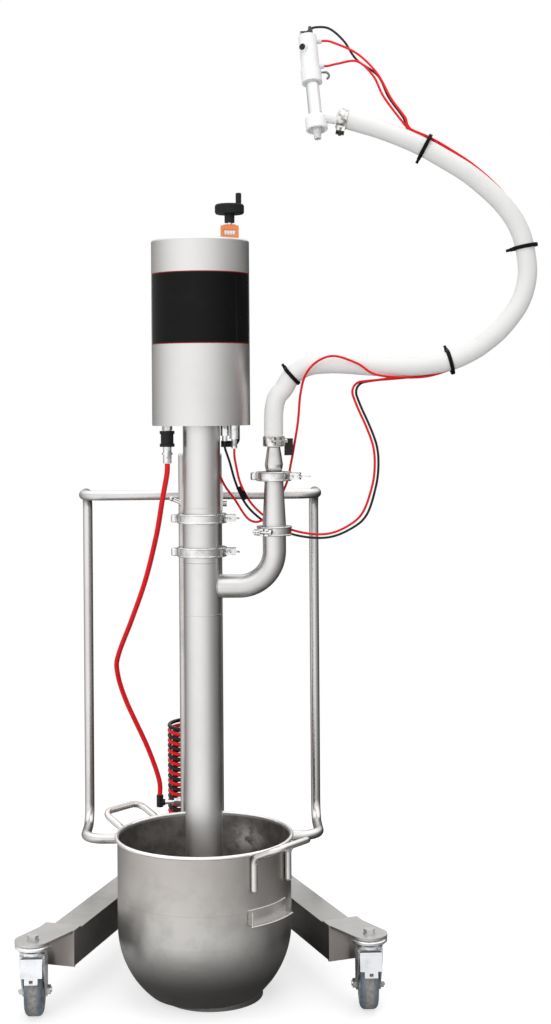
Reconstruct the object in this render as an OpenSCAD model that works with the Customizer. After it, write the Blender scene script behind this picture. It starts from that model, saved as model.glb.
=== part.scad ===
// Volumetric depositor on a wheeled stand: a stroke drive in a round housing, a product
// column that draws from a bowl, an outlet with a hose, and a shut-off nozzle on the hose.
// Millimetres, +Z up, the floor at z = 0, the user stands on the -Y side.

/* [Base] */
// width of one leg tube
leg_w = 56; // [48:1:64]
// height of one leg tube
leg_h = 62; // [52:1:66]
// height of the leg tops above the floor
leg_top = 142; // [138:1:150]
// angle of each leg to the centre line, in degrees
leg_splay = 18.5; // [15:0.5:20]
// distance of a leg from the centre line, beside the column
leg_x = 242; // [235:1:255]
// wall of the frame tubes
frame_wall = 3; // [2:0.5:4]
// thickness of the caster plates
plate_t = 5; // [4:0.5:8]

/* [Casters] */
// wheel diameter
wheel_d = 92; // [80:1:94]
// tyre width
tyre_w = 33; // [28:1:36]
// distance of the axle behind the swivel axis
caster_trail = 30; // [24:1:32]
// radius of the swivel dish
dish_r = 32.5; // [29:0.5:34]

/* [Mast and handle] */
// distance from the column axis back to the mast axis
mast_gap = 265; // [255:1:275]
// width of the square mast
mast_w = 88; // [80:1:92]
// height of the mast top above the pump arm
mast_over = 73.5; // [60:0.5:90]
// distance of the column axis from the centre line
column_x = 5; // [0:1:8]
// handle tube diameter
handle_d = 20; // [16:1:24]
// half width of the handle frame
handle_x = 241; // [225:1:255]
// depth of the handle loops behind the mast axis
handle_depth = 140; // [120:1:150]
// distance of the upper handle bar below the mast top
handle_drop = 82; // [70:1:100]
// height of the lower handle bar
handle_low = 224; // [215:1:240]

/* [Bowl] */
// outer radius of the bowl wall
bowl_r = 163.5; // [150:0.5:168]
// height of the bowl rim
bowl_h = 300; // [280:1:310]
// height of the middle of its round bottom
bowl_middle = 135; // [128:1:140]
// thickness of the bowl wall
bowl_t = 2; // [1.5:0.5:3]
// turn of the bowl handles from the front, in degrees
bowl_turn = 49; // [40:1:58]

/* [Housing] */
// outer diameter of the housing
housing_d = 185; // [178:1:195]
// height of the housing
housing_h = 348; // [340:1:360]
// wall of the housing
housing_t = 2; // [1.5:0.5:3]
// height of the label panel
label_h = 133; // [100:1:150]
// distance of the label's middle below the housing top
label_drop = 129.5; // [120:0.5:140]
// distance of the handwheel axis from the column axis
spindle_x = 56; // [54:0.5:60]
// handwheel diameter
handwheel_d = 54; // [48:1:60]

/* [Stroke drive] */
// bore of the air cylinder
air_bore = 80; // [70:1:82]
// diameter of the drive rod
rod_d = 20; // [16:1:24]
// stroke of the product piston
stroke = 60; // [40:1:60]
// running clearance, radial
fit = 0.06; // [0.03:0.01:0.1]

/* [Column] */
// outer diameter of the column tubes
column_d = 70; // [66:1:74]
// wall of the product tubes
tube_t = 2; // [1.5:0.5:3]
// height of the lower clamp joint above the branch
joint_rise = 66; // [60:1:72]
// length of the valve barrel between its clamp joints
barrel_h = 63; // [56:1:70]
// length of the upper tube from its clamp joint to the housing
upper_h = 175; // [168:1:185]
// height of the suction end above the floor
suction_z = 52; // [40:1:70]
// height of the foot valve seat
seat_z = 655; // [630:1:660]

/* [Outlet] */
// outer diameter of the outlet pipe
outlet_d = 44; // [40:1:46]
// height of the branch on the column
branch_z = 768; // [760:1:772]
// distance from the column axis to the upright outlet
outlet_x = 136.5; // [130:0.5:142]
// height of the joint under the cone above the branch
cone_rise = 104; // [100:1:110]
// length of the cone between its clamp joints
cone_h = 103; // [98:1:108]
// outer diameter of the cone at its top
cone_d = 36; // [34:1:38]

/* [Hoses] */
// product hose diameter
hose_d = 36; // [32:1:38]
// air hose diameter
air_hose_d = 10; // [8:0.5:11]
// control tube diameter
control_d = 4.5; // [4:0.5:6]
// tube diameter of the coiled hoses
coil_tube_d = 8; // [6:0.5:9]
// outer diameter of the coils
coil_d = 60; // [54:1:64]
// rise of one turn of a coil
coil_pitch = 21; // [20:0.5:22]
// turns of each coil
coil_turns = 10; // [8:1:11]

/* [Nozzle] */
// diameter of the nozzle's drive cylinder
gun_d = 35; // [32:1:38]
// lean of the nozzle to the left, in degrees
gun_lean = 4; // [2:0.5:6]
// lean of the nozzle away from the user, in degrees
gun_tilt = 16; // [12:1:18]
// travel of the shut-off needle
needle_travel = 10; // [6:1:12]

/* [Hidden] */
$fn = 64;
leg_front = 58;
leg_rear = 330;
plate_out = 22;
plate_reach = 71;
nose_r = 33;
leg_length = (leg_front + leg_rear) / cos(leg_splay);
front_end_x = leg_x + tan(leg_splay) * leg_front;
rear_end_x = leg_x - tan(leg_splay) * leg_rear;
front_swivel = [front_end_x + plate_out * cos(leg_splay) + plate_reach * sin(leg_splay),
                -leg_front + plate_out * sin(leg_splay) - plate_reach * cos(leg_splay)];
rear_swivel = [rear_end_x + plate_out * cos(leg_splay) - plate_reach * sin(leg_splay),
               leg_rear + plate_out * sin(leg_splay) + plate_reach * cos(leg_splay)];
pedal_reach = 40;
handle_rod = 5.6;
handle_half = 49;
handle_out = bowl_r + 54;
bowl_floor = 10;
ledge_angle = 36;
ledge_out = 19;
handle_corner = handle_rod + 0.15;
// the front bowl handle reaches further forward than the pedals
front_y = min(front_swivel[1] - pedal_reach, -handle_out * cos(bowl_turn)
              - handle_half * sin(bowl_turn) - handle_corner);
rear_y = rear_swivel[1] + caster_trail + wheel_d / 2;
// the column stands this far in front of the middle of the footprint
column_y = -(front_y + rear_y) / 2;
joint_2 = branch_z + joint_rise;
joint_1 = joint_2 + barrel_h;
joint_3 = branch_z + cone_rise;
joint_4 = joint_3 + cone_h;
housing_low = joint_1 + upper_h;
housing_top = housing_low + housing_h;
column_r = column_d / 2;
column_bore = column_r - tube_t;
mast_y = column_y + mast_gap;
outlet_r = outlet_d / 2;
outlet_bore = outlet_r - tube_t;
outlet_at = [column_x + outlet_x, column_y];
bend_r = 66;
flange_half = 5.5;
tail_neck = 15.2;
tail_bulge = 17.4;
tail_end = 12.2;
gasket_half = 1;
column_flange = column_r + 7;
outlet_flange = outlet_r + 6.5;
hose_start_z = joint_4 + 55;
gun_at = [228, column_y - 20, 1609];
gun_inlet_z = 50;
gun_inlet_drop = 14;
gun_inlet_reach = 40;
arm_in = 44;
arm_out = 52;
arm_slack = 0.2;
arm_end = 100;
arm_start = 30;
arm_reach = 160;
arm_z = joint_1 + arm_out / 2 + 11.5;
mast_top = arm_z + mast_over;
handle_top = mast_top - handle_drop;
rod_r = rod_d / 2;
stop_rise = 30;
lid_t = 3;
lid_edge = 9;
lid_round = 4.5;
tail_top = housing_top - 55 - stroke;
piston_low = housing_low - 57 - stroke;
piston_h = 38;
air_low = housing_low + 40;
air_high = air_low + 98 + stroke;
seat_hole = 18;
foot_ball_r = 24;
outlet_ball_r = 13;
outlet_seat_hole = 9;
coil_at = [-43, mast_y + mast_w / 2 + coil_d / 2 + 5];
coil_top = 450;
coil_r = coil_d / 2 - coil_tube_d / 2;
block_top_z = 488;
block_low_z = 196;

function unit(v) = v / norm(v);
function touch(p, s, r, side) =
    let (d = norm(p - s), b = atan2(p[1] - s[1], p[0] - s[0]), a = side * acos(r / d))
    s + r * [cos(b + a), sin(b + a)];
function between(a, b, c, d, t) =
    0.5 * (2 * b + (c - a) * t + (2 * a - 5 * b + 4 * c - d) * t * t
           + (3 * b - a - 3 * c + d) * t * t * t);
function last(list) = list[len(list) - 1];
// a smooth line through route points
function smooth(route, steps) = concat(
    [for (i = [0 : len(route) - 2]) for (k = [0 : steps - 1])
        between(route[max(i - 1, 0)], route[i], route[i + 1],
                route[min(i + 2, len(route) - 1)], k / steps)],
    [last(route)]);
function along(line, i) = unit(line[min(i + 1, len(line) - 1)] - line[max(i - 1, 0)]);
function ring_point(p, t, side, radius, angle) =
    let (n = unit(side - (side * t) * t), b = cross(t, n))
    p + radius * (cos(angle) * n + sin(angle) * b);
// places of the fittings under the housing and on the nozzle
plug_x = column_x + 62;
plug_low = housing_low - 44;
port_x = column_x + 44;
port_low = housing_low - 30;
coupler_x = column_x - 64.5;
coupler_low = housing_low - 71;
air_inlet_z = 297;
gun_r = gun_d / 2;
port_out = 8;
collar_low = 104;
drive_low = collar_low + 26;
drive_top = drive_low + 84;
ports_z = [drive_low + 20, drive_low + 73];
button_z = drive_low + 54;
top_port_z = drive_top + 12;
function placed(route) = [for (p = route) p + [0, column_y, 0]];

// a round tube of one unbroken surface along a line; sides tells which way each ring faces
module swept(line, sides, radius, corners) {
    count = len(line);
    points = [for (i = [0 : count - 1]) for (k = [0 : corners - 1])
        ring_point(line[i], along(line, i), sides[i], radius, 360 * k / corners)];
    walls = [for (i = [0 : count - 2]) for (k = [0 : corners - 1])
        let (a = i * corners + k, b = i * corners + (k + 1) % corners,
             c = b + corners, d = a + corners)
        each [[a, d, c], [a, c, b]]];
    start_cap = [[for (k = [0 : corners - 1]) k]];
    end_cap = [[for (k = [0 : corners - 1]) count * corners - 1 - k]];
    polyhedron(points, concat(walls, start_cap, end_cap), convexity = 10);
}

module flat_swept(line, radius, corners) {
    swept(line, [for (p = line) [0, 1, 0]], radius, corners);
}

// a straight round rod between two points
module rod(p, q, r) {
    v = q - p;
    translate(p)
        rotate([0, acos(v[2] / norm(v)), atan2(v[1], v[0])])
            cylinder(r = r, h = norm(v));
}

module ring(r_out, r_in, h) {
    difference() {
        cylinder(r = r_out, h = h);
        translate([0, 0, -1]) cylinder(r = r_in, h = h + 2);
    }
}

module rounded(w, r) {
    square([w - 2 * r, w], center = true);
    square([w, w - 2 * r], center = true);
    for (x = [-1, 1]) for (y = [-1, 1])
        translate([x * (w / 2 - r), y * (w / 2 - r)]) circle(r = r);
}

module on_column() { translate([column_x, column_y, 0]) children(); }
module on_outlet() { translate([outlet_at[0], outlet_at[1], 0]) children(); }
module both_sides() { children(); mirror([1, 0, 0]) children(); }

// base frame

module leg_tube() {
    translate([front_end_x, column_y - leg_front, leg_top - leg_h])
        rotate([0, 0, leg_splay])
            difference() {
                translate([-leg_w / 2, 0, 0]) cube([leg_w, leg_length, leg_h]);
                translate([-leg_w / 2 + frame_wall, -1, frame_wall])
                    cube([leg_w - 2 * frame_wall, leg_length + 2, leg_h - 2 * frame_wall]);
            }
}

module legs() color([0.72, 0.71, 0.7]) both_sides() leg_tube();

function leg_inner(y) = leg_x - tan(leg_splay) * y - leg_w / 2 / cos(leg_splay);

module beam_section(grow, y0, y1) {
    polygon([[-leg_inner(y0) - grow, y0], [leg_inner(y0) + grow, y0],
             [leg_inner(y1) + grow, y1], [-leg_inner(y1) - grow, y1]]);
}

module cross_beam() color([0.72, 0.71, 0.7]) {
    y0 = mast_gap - mast_w / 2 - 4;
    y1 = mast_gap + mast_w / 2 + 4;
    translate([0, column_y, leg_top - leg_h]) difference() {
        linear_extrude(leg_h) beam_section(-0.02, y0, y1);
        translate([0, 0, frame_wall])
            linear_extrude(leg_h - 2 * frame_wall)
                beam_section(10, y0 + frame_wall, y1 - frame_wall);
    }
}

module plate_outline() {
    inner = [-leg_w / 2 - 2, 0];
    outer = [leg_w / 2 + 12, 0];
    nose = [plate_out, -plate_reach];
    translate(nose) circle(r = nose_r);
    polygon([inner + [0, 26], inner, touch(inner, nose, nose_r, 1), nose,
             touch(outer, nose, nose_r, -1), outer, outer + [0, 26]]);
}

module caster_plate() {
    difference() {
        translate([0, 0, leg_top]) linear_extrude(plate_t) plate_outline();
        translate([plate_out, -plate_reach, leg_top - 1]) cylinder(r = 6.3, h = plate_t + 2);
    }
    translate([-leg_w / 2 - 2, -plate_t, leg_top - leg_h])
        cube([leg_w + 4, plate_t, leg_h + plate_t]);
}

module caster_plates() color([0.74, 0.73, 0.72]) both_sides() {
    translate([front_end_x, column_y - leg_front, 0])
        rotate([0, 0, leg_splay]) caster_plate();
    translate([rear_end_x, column_y + leg_rear, 0])
        rotate([0, 0, leg_splay]) mirror([0, 1, 0]) caster_plate();
}

swivel_r = 6;
swivel_reach = 22;

module swivel_bolt() {
    translate([0, 0, leg_top + plate_t]) cylinder(r = swivel_r + 4.4, h = 8, $fn = 6);
    translate([0, 0, leg_top + plate_t]) ring(swivel_r * 2, swivel_r, 1.6);
    translate([0, 0, leg_top - swivel_reach]) cylinder(r = swivel_r, h = swivel_reach + plate_t + 1);
}

module swivel_bolts() color([0.8, 0.8, 0.82]) both_sides() {
    translate([front_swivel[0], column_y + front_swivel[1], 0]) swivel_bolt();
    translate([rear_swivel[0], column_y + rear_swivel[1], 0]) swivel_bolt();
}

// casters, drawn around their swivel axis

fork_gap = tyre_w / 2 + 3;
fork_t = 3;
axle_z = wheel_d / 2;
shoulder = 9.5;

pedal_hinge = [-14, leg_top - 30];
pedal_pin = 2.5;

module fork_cheek() {
    rotate([90, 0, 90]) linear_extrude(fork_t) difference() {
        union() {
            polygon([[-20, leg_top - 22], [26, leg_top - 22], [caster_trail + 15, leg_top - 42],
                     [caster_trail + 12, axle_z], [caster_trail - 12, axle_z], [-18, leg_top - 40]]);
            translate([caster_trail, axle_z]) circle(r = 12);
        }
        translate(pedal_hinge) circle(r = pedal_pin + fit);
    }
}

module fork() color([0.82, 0.82, 0.84]) {
    difference() {
        union() {
            translate([0, 0, leg_top - 13]) rotate_extrude()
                polygon([[0, 0], [dish_r - 6, 0], [dish_r, 5], [dish_r, 8.6],
                         [dish_r - 3, 12.6], [0, 12.6]]);
            translate([0, 0, leg_top - 19]) cylinder(r = 24, h = 7);
            translate([-fork_gap - fork_t, -20, leg_top - 22])
                cube([2 * (fork_gap + fork_t), 46, 3.5]);
        }
        translate([0, 0, leg_top - 24]) cylinder(r = 6 + fit, h = 26);
    }
    translate([fork_gap, 0, 0]) fork_cheek();
    translate([-fork_gap - fork_t, 0, 0]) fork_cheek();
    translate([-fork_gap - fork_t - 8, caster_trail, axle_z]) rotate([0, 90, 0])
        cylinder(r = 5, h = 2 * (fork_gap + fork_t + 8));
    for (side = [-1, 1])
        translate([side * (fork_gap + fork_t + 3), caster_trail, axle_z]) rotate([0, 90, 0])
            translate([0, 0, -3]) cylinder(r = 9, h = 6, $fn = 6);
}

module wheel() color([0.45, 0.5, 0.56]) {
    rim_r = wheel_d / 2 - 13;
    translate([0, caster_trail, axle_z]) rotate([0, 90, 0]) {
        rotate_extrude() difference() {
            union() {
                translate([0, -tyre_w / 2 + shoulder]) square([wheel_d / 2, tyre_w - 2 * shoulder]);
                translate([0, -tyre_w / 2]) square([wheel_d / 2 - shoulder, tyre_w]);
                for (side = [-1, 1])
                    translate([wheel_d / 2 - shoulder, side * (tyre_w / 2 - shoulder)])
                        circle(r = shoulder);
            }
            translate([0, -tyre_w]) square([rim_r + 0.1, 2 * tyre_w]);
        }
        rotate_extrude() {
            translate([5 + fit, -tyre_w / 2 - 1.5]) square([8, tyre_w + 3]);
            translate([5 + fit, -4]) square([rim_r - 5 - fit, 8]);
            translate([rim_r - 5, -tyre_w / 2 + 1]) square([5, tyre_w - 2]);
        }
    }
}

pedal_w = 40;
pedal_t = 3;
pedal_lean = -9;

module pedal() color([0.9, 0.9, 0.92]) {
    difference() {
        union() {
            translate([0, -pedal_reach + 2.5, leg_top - 53]) rotate([pedal_lean, 0, 0]) {
                translate([-pedal_w / 2, 0, 0]) cube([pedal_w, pedal_t, 33]);
                for (x = [-9, 7]) translate([x, -1, 11]) cube([2, 2, 15]);
            }
            translate([-pedal_w / 2, -pedal_reach + 7, leg_top - 27])
                cube([pedal_w, pedal_reach - 28, pedal_t]);
            translate([-fork_gap + 1, -pedal_reach + 7, leg_top - 27])
                cube([2 * fork_gap - 2, pedal_reach - 7 + pedal_hinge[0], pedal_t]);
            translate([-fork_gap + 1, pedal_hinge[0], pedal_hinge[1]]) rotate([0, 90, 0])
                cylinder(r = 4, h = 2 * fork_gap - 2);
            translate([-fork_gap - fork_t, pedal_hinge[0], pedal_hinge[1]]) rotate([0, 90, 0])
                cylinder(r = pedal_pin, h = 2 * (fork_gap + fork_t));
            translate([-12, -pedal_reach + 0.7, leg_top - 64]) rotate([pedal_lean, 0, 0])
                cube([24, pedal_t, 14]);
        }
        translate([-3.5, -pedal_reach - 10, leg_top - 62]) cube([7, 40, 6]);
    }
}

module at_front_left() {
    translate([-front_swivel[0], column_y + front_swivel[1], 0]) children();
}
module at_front_right() {
    translate([front_swivel[0], column_y + front_swivel[1], 0]) children();
}
module at_rear_left() {
    translate([-rear_swivel[0], column_y + rear_swivel[1], 0]) children();
}
module at_rear_right() {
    translate([rear_swivel[0], column_y + rear_swivel[1], 0]) children();
}

module front_left_fork() at_front_left() fork();
module front_right_fork() at_front_right() fork();
module rear_left_fork() at_rear_left() fork();
module rear_right_fork() at_rear_right() fork();
module front_left_wheel() at_front_left() wheel();
module front_right_wheel() at_front_right() wheel();
module rear_left_wheel() at_rear_left() wheel();
module rear_right_wheel() at_rear_right() wheel();
module front_left_pedal() at_front_left() pedal();
module front_right_pedal() at_front_right() pedal();

// mast, handle frame and pump arm

module mast() color([0.7, 0.69, 0.68]) {
    translate([0, mast_y, leg_top]) linear_extrude(mast_top - leg_top) difference() {
        rounded(mast_w, 8);
        rounded(mast_w - 2 * frame_wall, 6);
    }
    bar = mast_gap - arm_end - mast_w / 2;
    translate([column_x - arm_in / 2, column_y + arm_end, arm_z - arm_in / 2]) difference() {
        cube([arm_in, bar + 1, arm_in]);
        translate([frame_wall, -1, frame_wall])
            cube([arm_in - 2 * frame_wall, bar, arm_in - 2 * frame_wall]);
    }
}

module mast_cap() color([0.93, 0.93, 0.92]) {
    translate([0, mast_y, mast_top]) linear_extrude(3) rounded(mast_w, 8);
    translate([0, mast_y, mast_top - 14]) linear_extrude(15) difference() {
        rounded(mast_w - 2 * frame_wall - 0.4, 5.8);
        rounded(mast_w - 2 * frame_wall - 6, 4);
    }
}

handle_bend = 40;

module loop_path(r) {
    b = handle_bend;
    y0 = mast_gap;
    y1 = mast_gap + handle_depth;
    x = handle_x;
    for (z = [handle_top, handle_low]) {
        rod([mast_w / 2 - (r < handle_d / 2 ? 1 : 0), y0, z], [x - b, y0, z], r);
        translate([x - b, y0 + b, z]) rotate([0, 0, -90])
            rotate_extrude(angle = 90) translate([b, 0]) circle(r = r);
        rod([x, y0 + b, z], [x, y1 - b, z], r);
    }
    translate([x, y1 - b, handle_top - b]) rotate([0, -90, 0])
        rotate_extrude(angle = 90) translate([b, 0]) circle(r = r);
    translate([x, y1 - b, handle_low + b]) mirror([0, 0, 1]) rotate([0, -90, 0])
        rotate_extrude(angle = 90) translate([b, 0]) circle(r = r);
    rod([x, y1, handle_low + b], [x, y1, handle_top - b], r);
}

module handle_frame() color([0.75, 0.74, 0.73]) translate([0, column_y, 0]) both_sides()
    difference() {
        loop_path(handle_d / 2);
        loop_path(handle_d / 2 - 2);
    }

module pump_arm() color([0.72, 0.71, 0.7]) {
    back = column_r + 0.05;
    translate([column_x, column_y, 0]) {
        difference() {
            translate([-arm_out / 2, arm_start, arm_z - arm_out / 2])
                cube([arm_out, arm_reach, arm_out]);
            translate([-arm_in / 2 - arm_slack, 2 * arm_start, arm_z - arm_in / 2 - arm_slack])
                cube([arm_in + 2 * arm_slack, arm_reach, arm_in + 2 * arm_slack]);
            translate([0, 0, arm_z - 60]) cylinder(r = back, h = 120);
        }
        difference() {
            translate([0, 0, arm_z - arm_out / 2]) ring(column_r + 6, back, arm_out);
            translate([-100, -200, arm_z - 60]) cube([200, 210, 120]);
        }
    }
}

// clamp lever on the left of the arm, knob on the right
module bracket_knobs() translate([column_x, column_y + arm_end + 25, arm_z - 17]) {
    far = arm_out / 2;
    rod([far, 0, 0], [far + 14, 0, 0], 4);
    rod([far + 8, 0, 0], [far + 22, 0, 0], 7);
    rod([-far - 14, 0, 0], [-far, 0, 0], 4);
    rod([-far - 18, 0, 0], [-far - 6, 0, 0], 6);
    rod([-far - 12, 0, 0], [-far - 34, 0, 9], 4);
    translate([-far - 34, 0, 9]) sphere(r = 5);
}

// bowl

// straight wall on a round bottom, which is flat where it stands on the foot ring
module bowl_section(t) {
    translate([0, bowl_middle]) square([bowl_r - t, bowl_h - bowl_middle + t]);
    intersection() {
        translate([0, bowl_middle]) circle(r = bowl_r - t);
        translate([0, bowl_floor + t]) square([bowl_r, bowl_middle - bowl_floor]);
    }
}

module bowl() color([0.62, 0.6, 0.58]) on_column() difference() {
    union() {
        rotate_extrude() bowl_section(0);
        translate([0, 0, bowl_h]) rotate_extrude()
            translate([bowl_r - bowl_t + 3.6, 0]) circle(r = 3.5);
        translate([14, 0, 0]) ring(95, 87, 24);
    }
    rotate_extrude() bowl_section(bowl_t);
}

// the points that take the place of a corner, so that the rod turns it in three steps
function eased(before, corner, after, ease) = let (u = unit(before - corner), v = unit(after - corner))
    [corner + ease * u, corner + 0.3 * ease * (u + v), corner + ease * v];

module bowl_handle() {
    wall = bowl_r + handle_rod + 0.05;
    near = sqrt(wall * wall - handle_half * handle_half);
    bend_z = bowl_h - 7;
    bar_z = bowl_h + 18;
    foot = [handle_half, -near, bowl_h - 64];
    bend = [handle_half, -near, bend_z];
    corner = [handle_half, -handle_out, bar_z];
    middle = [0, -handle_out, bar_z];
    half_way = concat([foot], eased(foot, bend, corner, 14), eased(bend, corner, middle, 14));
    other = [for (i = [len(half_way) - 1 : -1 : 0]) [-half_way[i][0], half_way[i][1], half_way[i][2]]];
    line = concat(half_way, other);
    swept(line, [for (p = line) [0, bar_z - bend_z, handle_out - near]], handle_rod, 16);
}

// a bent strip along the wall: back, shelf and a lip at its left end
ledge_drop = 128;
ledge_h = 27;

module bowl_ledge() {
    wall = bowl_r + 0.05;
    translate([0, 0, bowl_h - ledge_drop]) rotate([0, 0, -90 - ledge_angle / 2]) {
        rotate_extrude(angle = ledge_angle) translate([wall, 0]) {
            square([ledge_out, 3]);
            square([2.5, ledge_h]);
        }
        rotate_extrude(angle = 1.2) translate([wall, 0]) square([ledge_out, ledge_h]);
    }
}

module bowl_fittings() color([0.68, 0.66, 0.64]) on_column() {
    for (turn = [bowl_turn, bowl_turn + 180]) rotate([0, 0, turn]) {
        bowl_handle();
        bowl_ledge();
    }
}

// housing and stroke drive

module housing_shell() color([0.78, 0.77, 0.76]) on_column() {
    translate([0, 0, housing_low]) ring(housing_d / 2, housing_d / 2 - housing_t,
                                        housing_top - housing_low - lid_edge);
}

module housing_lid() color([0.78, 0.77, 0.76]) on_column() difference() {
    under = housing_top - lid_edge;
    union() {
        translate([0, 0, under]) rotate_extrude() {
            square([housing_d / 2 - lid_round, lid_edge]);
            square([housing_d / 2, lid_edge - lid_round]);
            translate([housing_d / 2 - lid_round, lid_edge - lid_round]) circle(r = lid_round);
        }
        translate([0, 0, under - 6])
            ring(housing_d / 2 - housing_t - 0.1, housing_d / 2 - housing_t - 3, 7);
    }
    translate([0, 0, under - 1]) cylinder(r = housing_d / 2 - housing_t - 4, h = lid_edge - lid_t + 1);
    translate([spindle_x, 0, housing_top - 20]) cylinder(r = 5 + fit, h = 40);
}

module housing_base() color([0.72, 0.71, 0.7]) on_column() difference() {
    translate([0, 0, housing_low]) cylinder(r = housing_d / 2 - housing_t - 0.05, h = 8);
    translate([0, 0, housing_low - 1]) cylinder(r = rod_r + fit, h = 12);
}

module label_panel() color([0.05, 0.05, 0.06]) on_column() {
    translate([0, 0, housing_top - label_drop - label_h / 2]) rotate([0, 0, -90 - 75])
        rotate_extrude(angle = 150)
            translate([housing_d / 2 + 0.02, 0]) square([0.7, label_h]);
}

module on_spindle() { translate([column_x + spindle_x, column_y, 0]) children(); }

module position_indicator() color([0.95, 0.45, 0.1]) on_spindle() difference() {
    union() {
        translate([-17, -20, housing_top]) cube([34, 40, 27]);
        translate([0, 0, housing_top + 27]) cylinder(r = 12, h = 3);
    }
    translate([0, 0, housing_top - 1]) cylinder(r = 5 + fit, h = 40);
    translate([-11, -21, housing_top + 8]) cube([22, 3, 11]);
}

wheel_low = housing_top + 34;
knob_r = 5.4;
knob_h = 18;

module handwheel() color([0.06, 0.06, 0.07]) on_spindle() {
    rim = handwheel_d / 2;
    translate([0, 0, wheel_low]) rotate_extrude() difference() {
        union() {
            square([9.5, 20]);
            translate([0, 16]) square([rim - 3, 8]);
            translate([rim - 8, 16]) square([5, 19]);
            translate([rim - 8, 19]) square([8, 13]);
            translate([rim - 3, 19]) circle(r = 3);
            translate([rim - 3, 32]) circle(r = 3);
        }
        translate([-1, -1]) square([6 + 0.03, 22]);
    }
    rotate([0, 0, -32]) translate([20, 0, wheel_low + 30]) cylinder(r = 3, h = 8);
}

module crank_knob() color([0.08, 0.08, 0.09]) on_spindle() rotate([0, 0, -32])
    translate([20, 0, wheel_low + 35.4]) difference() {
        union() {
            cylinder(r = knob_r, h = knob_h);
            translate([0, 0, knob_h - 0.01]) cylinder(r1 = knob_r, r2 = knob_r - 1, h = 1.5);
        }
        translate([0, 0, -1]) cylinder(r = 3 + fit, h = 4.2);
    }

module spindle() color([0.75, 0.75, 0.77]) on_spindle() {
    translate([0, 0, housing_top - 40 - stop_rise])
        cylinder(r = 5, h = wheel_low + 21 - housing_top + 40 + stop_rise);
    translate([0, 0, housing_top - 5]) cylinder(r = 7, h = 1.6);
}

module stroke_stop() color([0.6, 0.6, 0.62]) {
    low = housing_top - 23;
    on_spindle() difference() {
        union() {
            translate([0, 0, low]) cylinder(r = 11, h = 14);
            translate([-spindle_x - 12, -10, low]) cube([spindle_x + 12, 20, 12]);
        }
        translate([0, 0, low - 1]) cylinder(r = 5 + fit, h = 20);
    }
}

module air_cylinder() color([0.8, 0.8, 0.82]) on_column() {
    bore = air_bore / 2;
    translate([0, 0, air_low]) ring(bore + 4, bore, air_high - air_low);
    difference() {
        translate([0, 0, housing_low + 8]) cylinder(r = bore + 4, h = air_low - housing_low - 8);
        translate([0, 0, housing_low]) cylinder(r = rod_r + fit, h = air_low - housing_low + 1);
    }
    difference() {
        translate([0, 0, air_high]) cylinder(r = bore + 4, h = 16);
        translate([0, 0, air_high - 1]) cylinder(r = rod_r + fit, h = 20);
    }
}

module drive_rod() color([0.85, 0.85, 0.86]) on_column() {
    translate([0, 0, piston_low + piston_h + 0.1])
        cylinder(r = rod_r, h = tail_top - piston_low - piston_h - 0.1);
    translate([0, 0, air_low + 12]) cylinder(r = air_bore / 2 - fit, h = 24);
}

module product_piston() color([0.93, 0.93, 0.9]) on_column() {
    difference() {
        translate([0, 0, piston_low]) cylinder(r = column_bore - 0.35, h = piston_h);
        for (z = [8, 24]) translate([0, 0, piston_low + z])
            ring(column_bore + 1, column_bore - 3, 5);
    }
    for (z = [8, 24]) translate([0, 0, piston_low + z + 0.1])
        ring(column_bore - fit, column_bore - 2.95, 4.8);
}

// product column

module ferrule(r_flange, r_bore, up) {
    translate([0, 0, up > 0 ? gasket_half : -flange_half])
        ring(r_flange, r_bore, flange_half - gasket_half);
}

module upper_tube() color([0.77, 0.76, 0.75]) on_column() {
    translate([0, 0, joint_1 + gasket_half])
        ring(column_r, column_bore, housing_low - joint_1 - gasket_half);
    translate([0, 0, joint_1]) ferrule(column_flange, column_bore, 1);
    translate([0, -column_r - 0.9, housing_low - 12]) rotate([-90, 0, 0]) cylinder(r = 3, h = 1.8);
}

module valve_barrel() color([0.76, 0.75, 0.74]) on_column() {
    difference() {
        translate([0, 0, joint_2 + gasket_half])
            ring(column_r + 1, column_bore, joint_1 - joint_2 - 2 * gasket_half);
        for (z = [24, 36]) translate([0, 0, joint_2 + z]) ring(column_r + 3, column_r + 0.5, 1);
    }
    translate([0, 0, joint_1]) ferrule(column_flange, column_bore, -1);
    translate([0, 0, joint_2]) ferrule(column_flange, column_bore, 1);
}

module branch_path(r, start) {
    turn_x = outlet_x - bend_r;
    top = joint_3 - gasket_half;
    translate([start, 0, branch_z]) rotate([0, 90, 0]) cylinder(r = r, h = turn_x - start);
    translate([turn_x, 0, branch_z + bend_r]) rotate([-90, 0, 0])
        rotate_extrude(angle = 90) translate([bend_r, 0]) circle(r = r);
    translate([outlet_x, 0, branch_z + bend_r])
        cylinder(r = r, h = top - branch_z - bend_r + (r < outlet_r ? 1 : 0));
}

module lower_tube() color([0.76, 0.75, 0.74]) on_column() {
    difference() {
        union() {
            translate([0, 0, suction_z]) cylinder(r = column_r, h = joint_2 - gasket_half - suction_z);
            translate([0, 0, joint_2 - flange_half])
                cylinder(r = column_flange, h = flange_half - gasket_half);
            branch_path(outlet_r, 0);
            translate([outlet_x, 0, joint_3 - flange_half])
                cylinder(r = outlet_flange, h = flange_half - gasket_half);
        }
        translate([0, 0, seat_z]) cylinder(r = column_bore, h = 400);
        translate([0, 0, suction_z - 1]) cylinder(r = column_bore, h = seat_z - 8 - suction_z + 1);
        translate([0, 0, seat_z - 20]) cylinder(r = seat_hole, h = 40);
        branch_path(outlet_bore, 0);
        for (turn = [0, 90]) rotate([0, 0, turn])
            translate([-50, -12, suction_z - 1]) cube([100, 24, 19]);
    }
    translate([-column_r + 1, 0, seat_z + 60]) rotate([0, 90, 0])
        cylinder(r = 3, h = 2 * column_r - 2);
}

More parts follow.
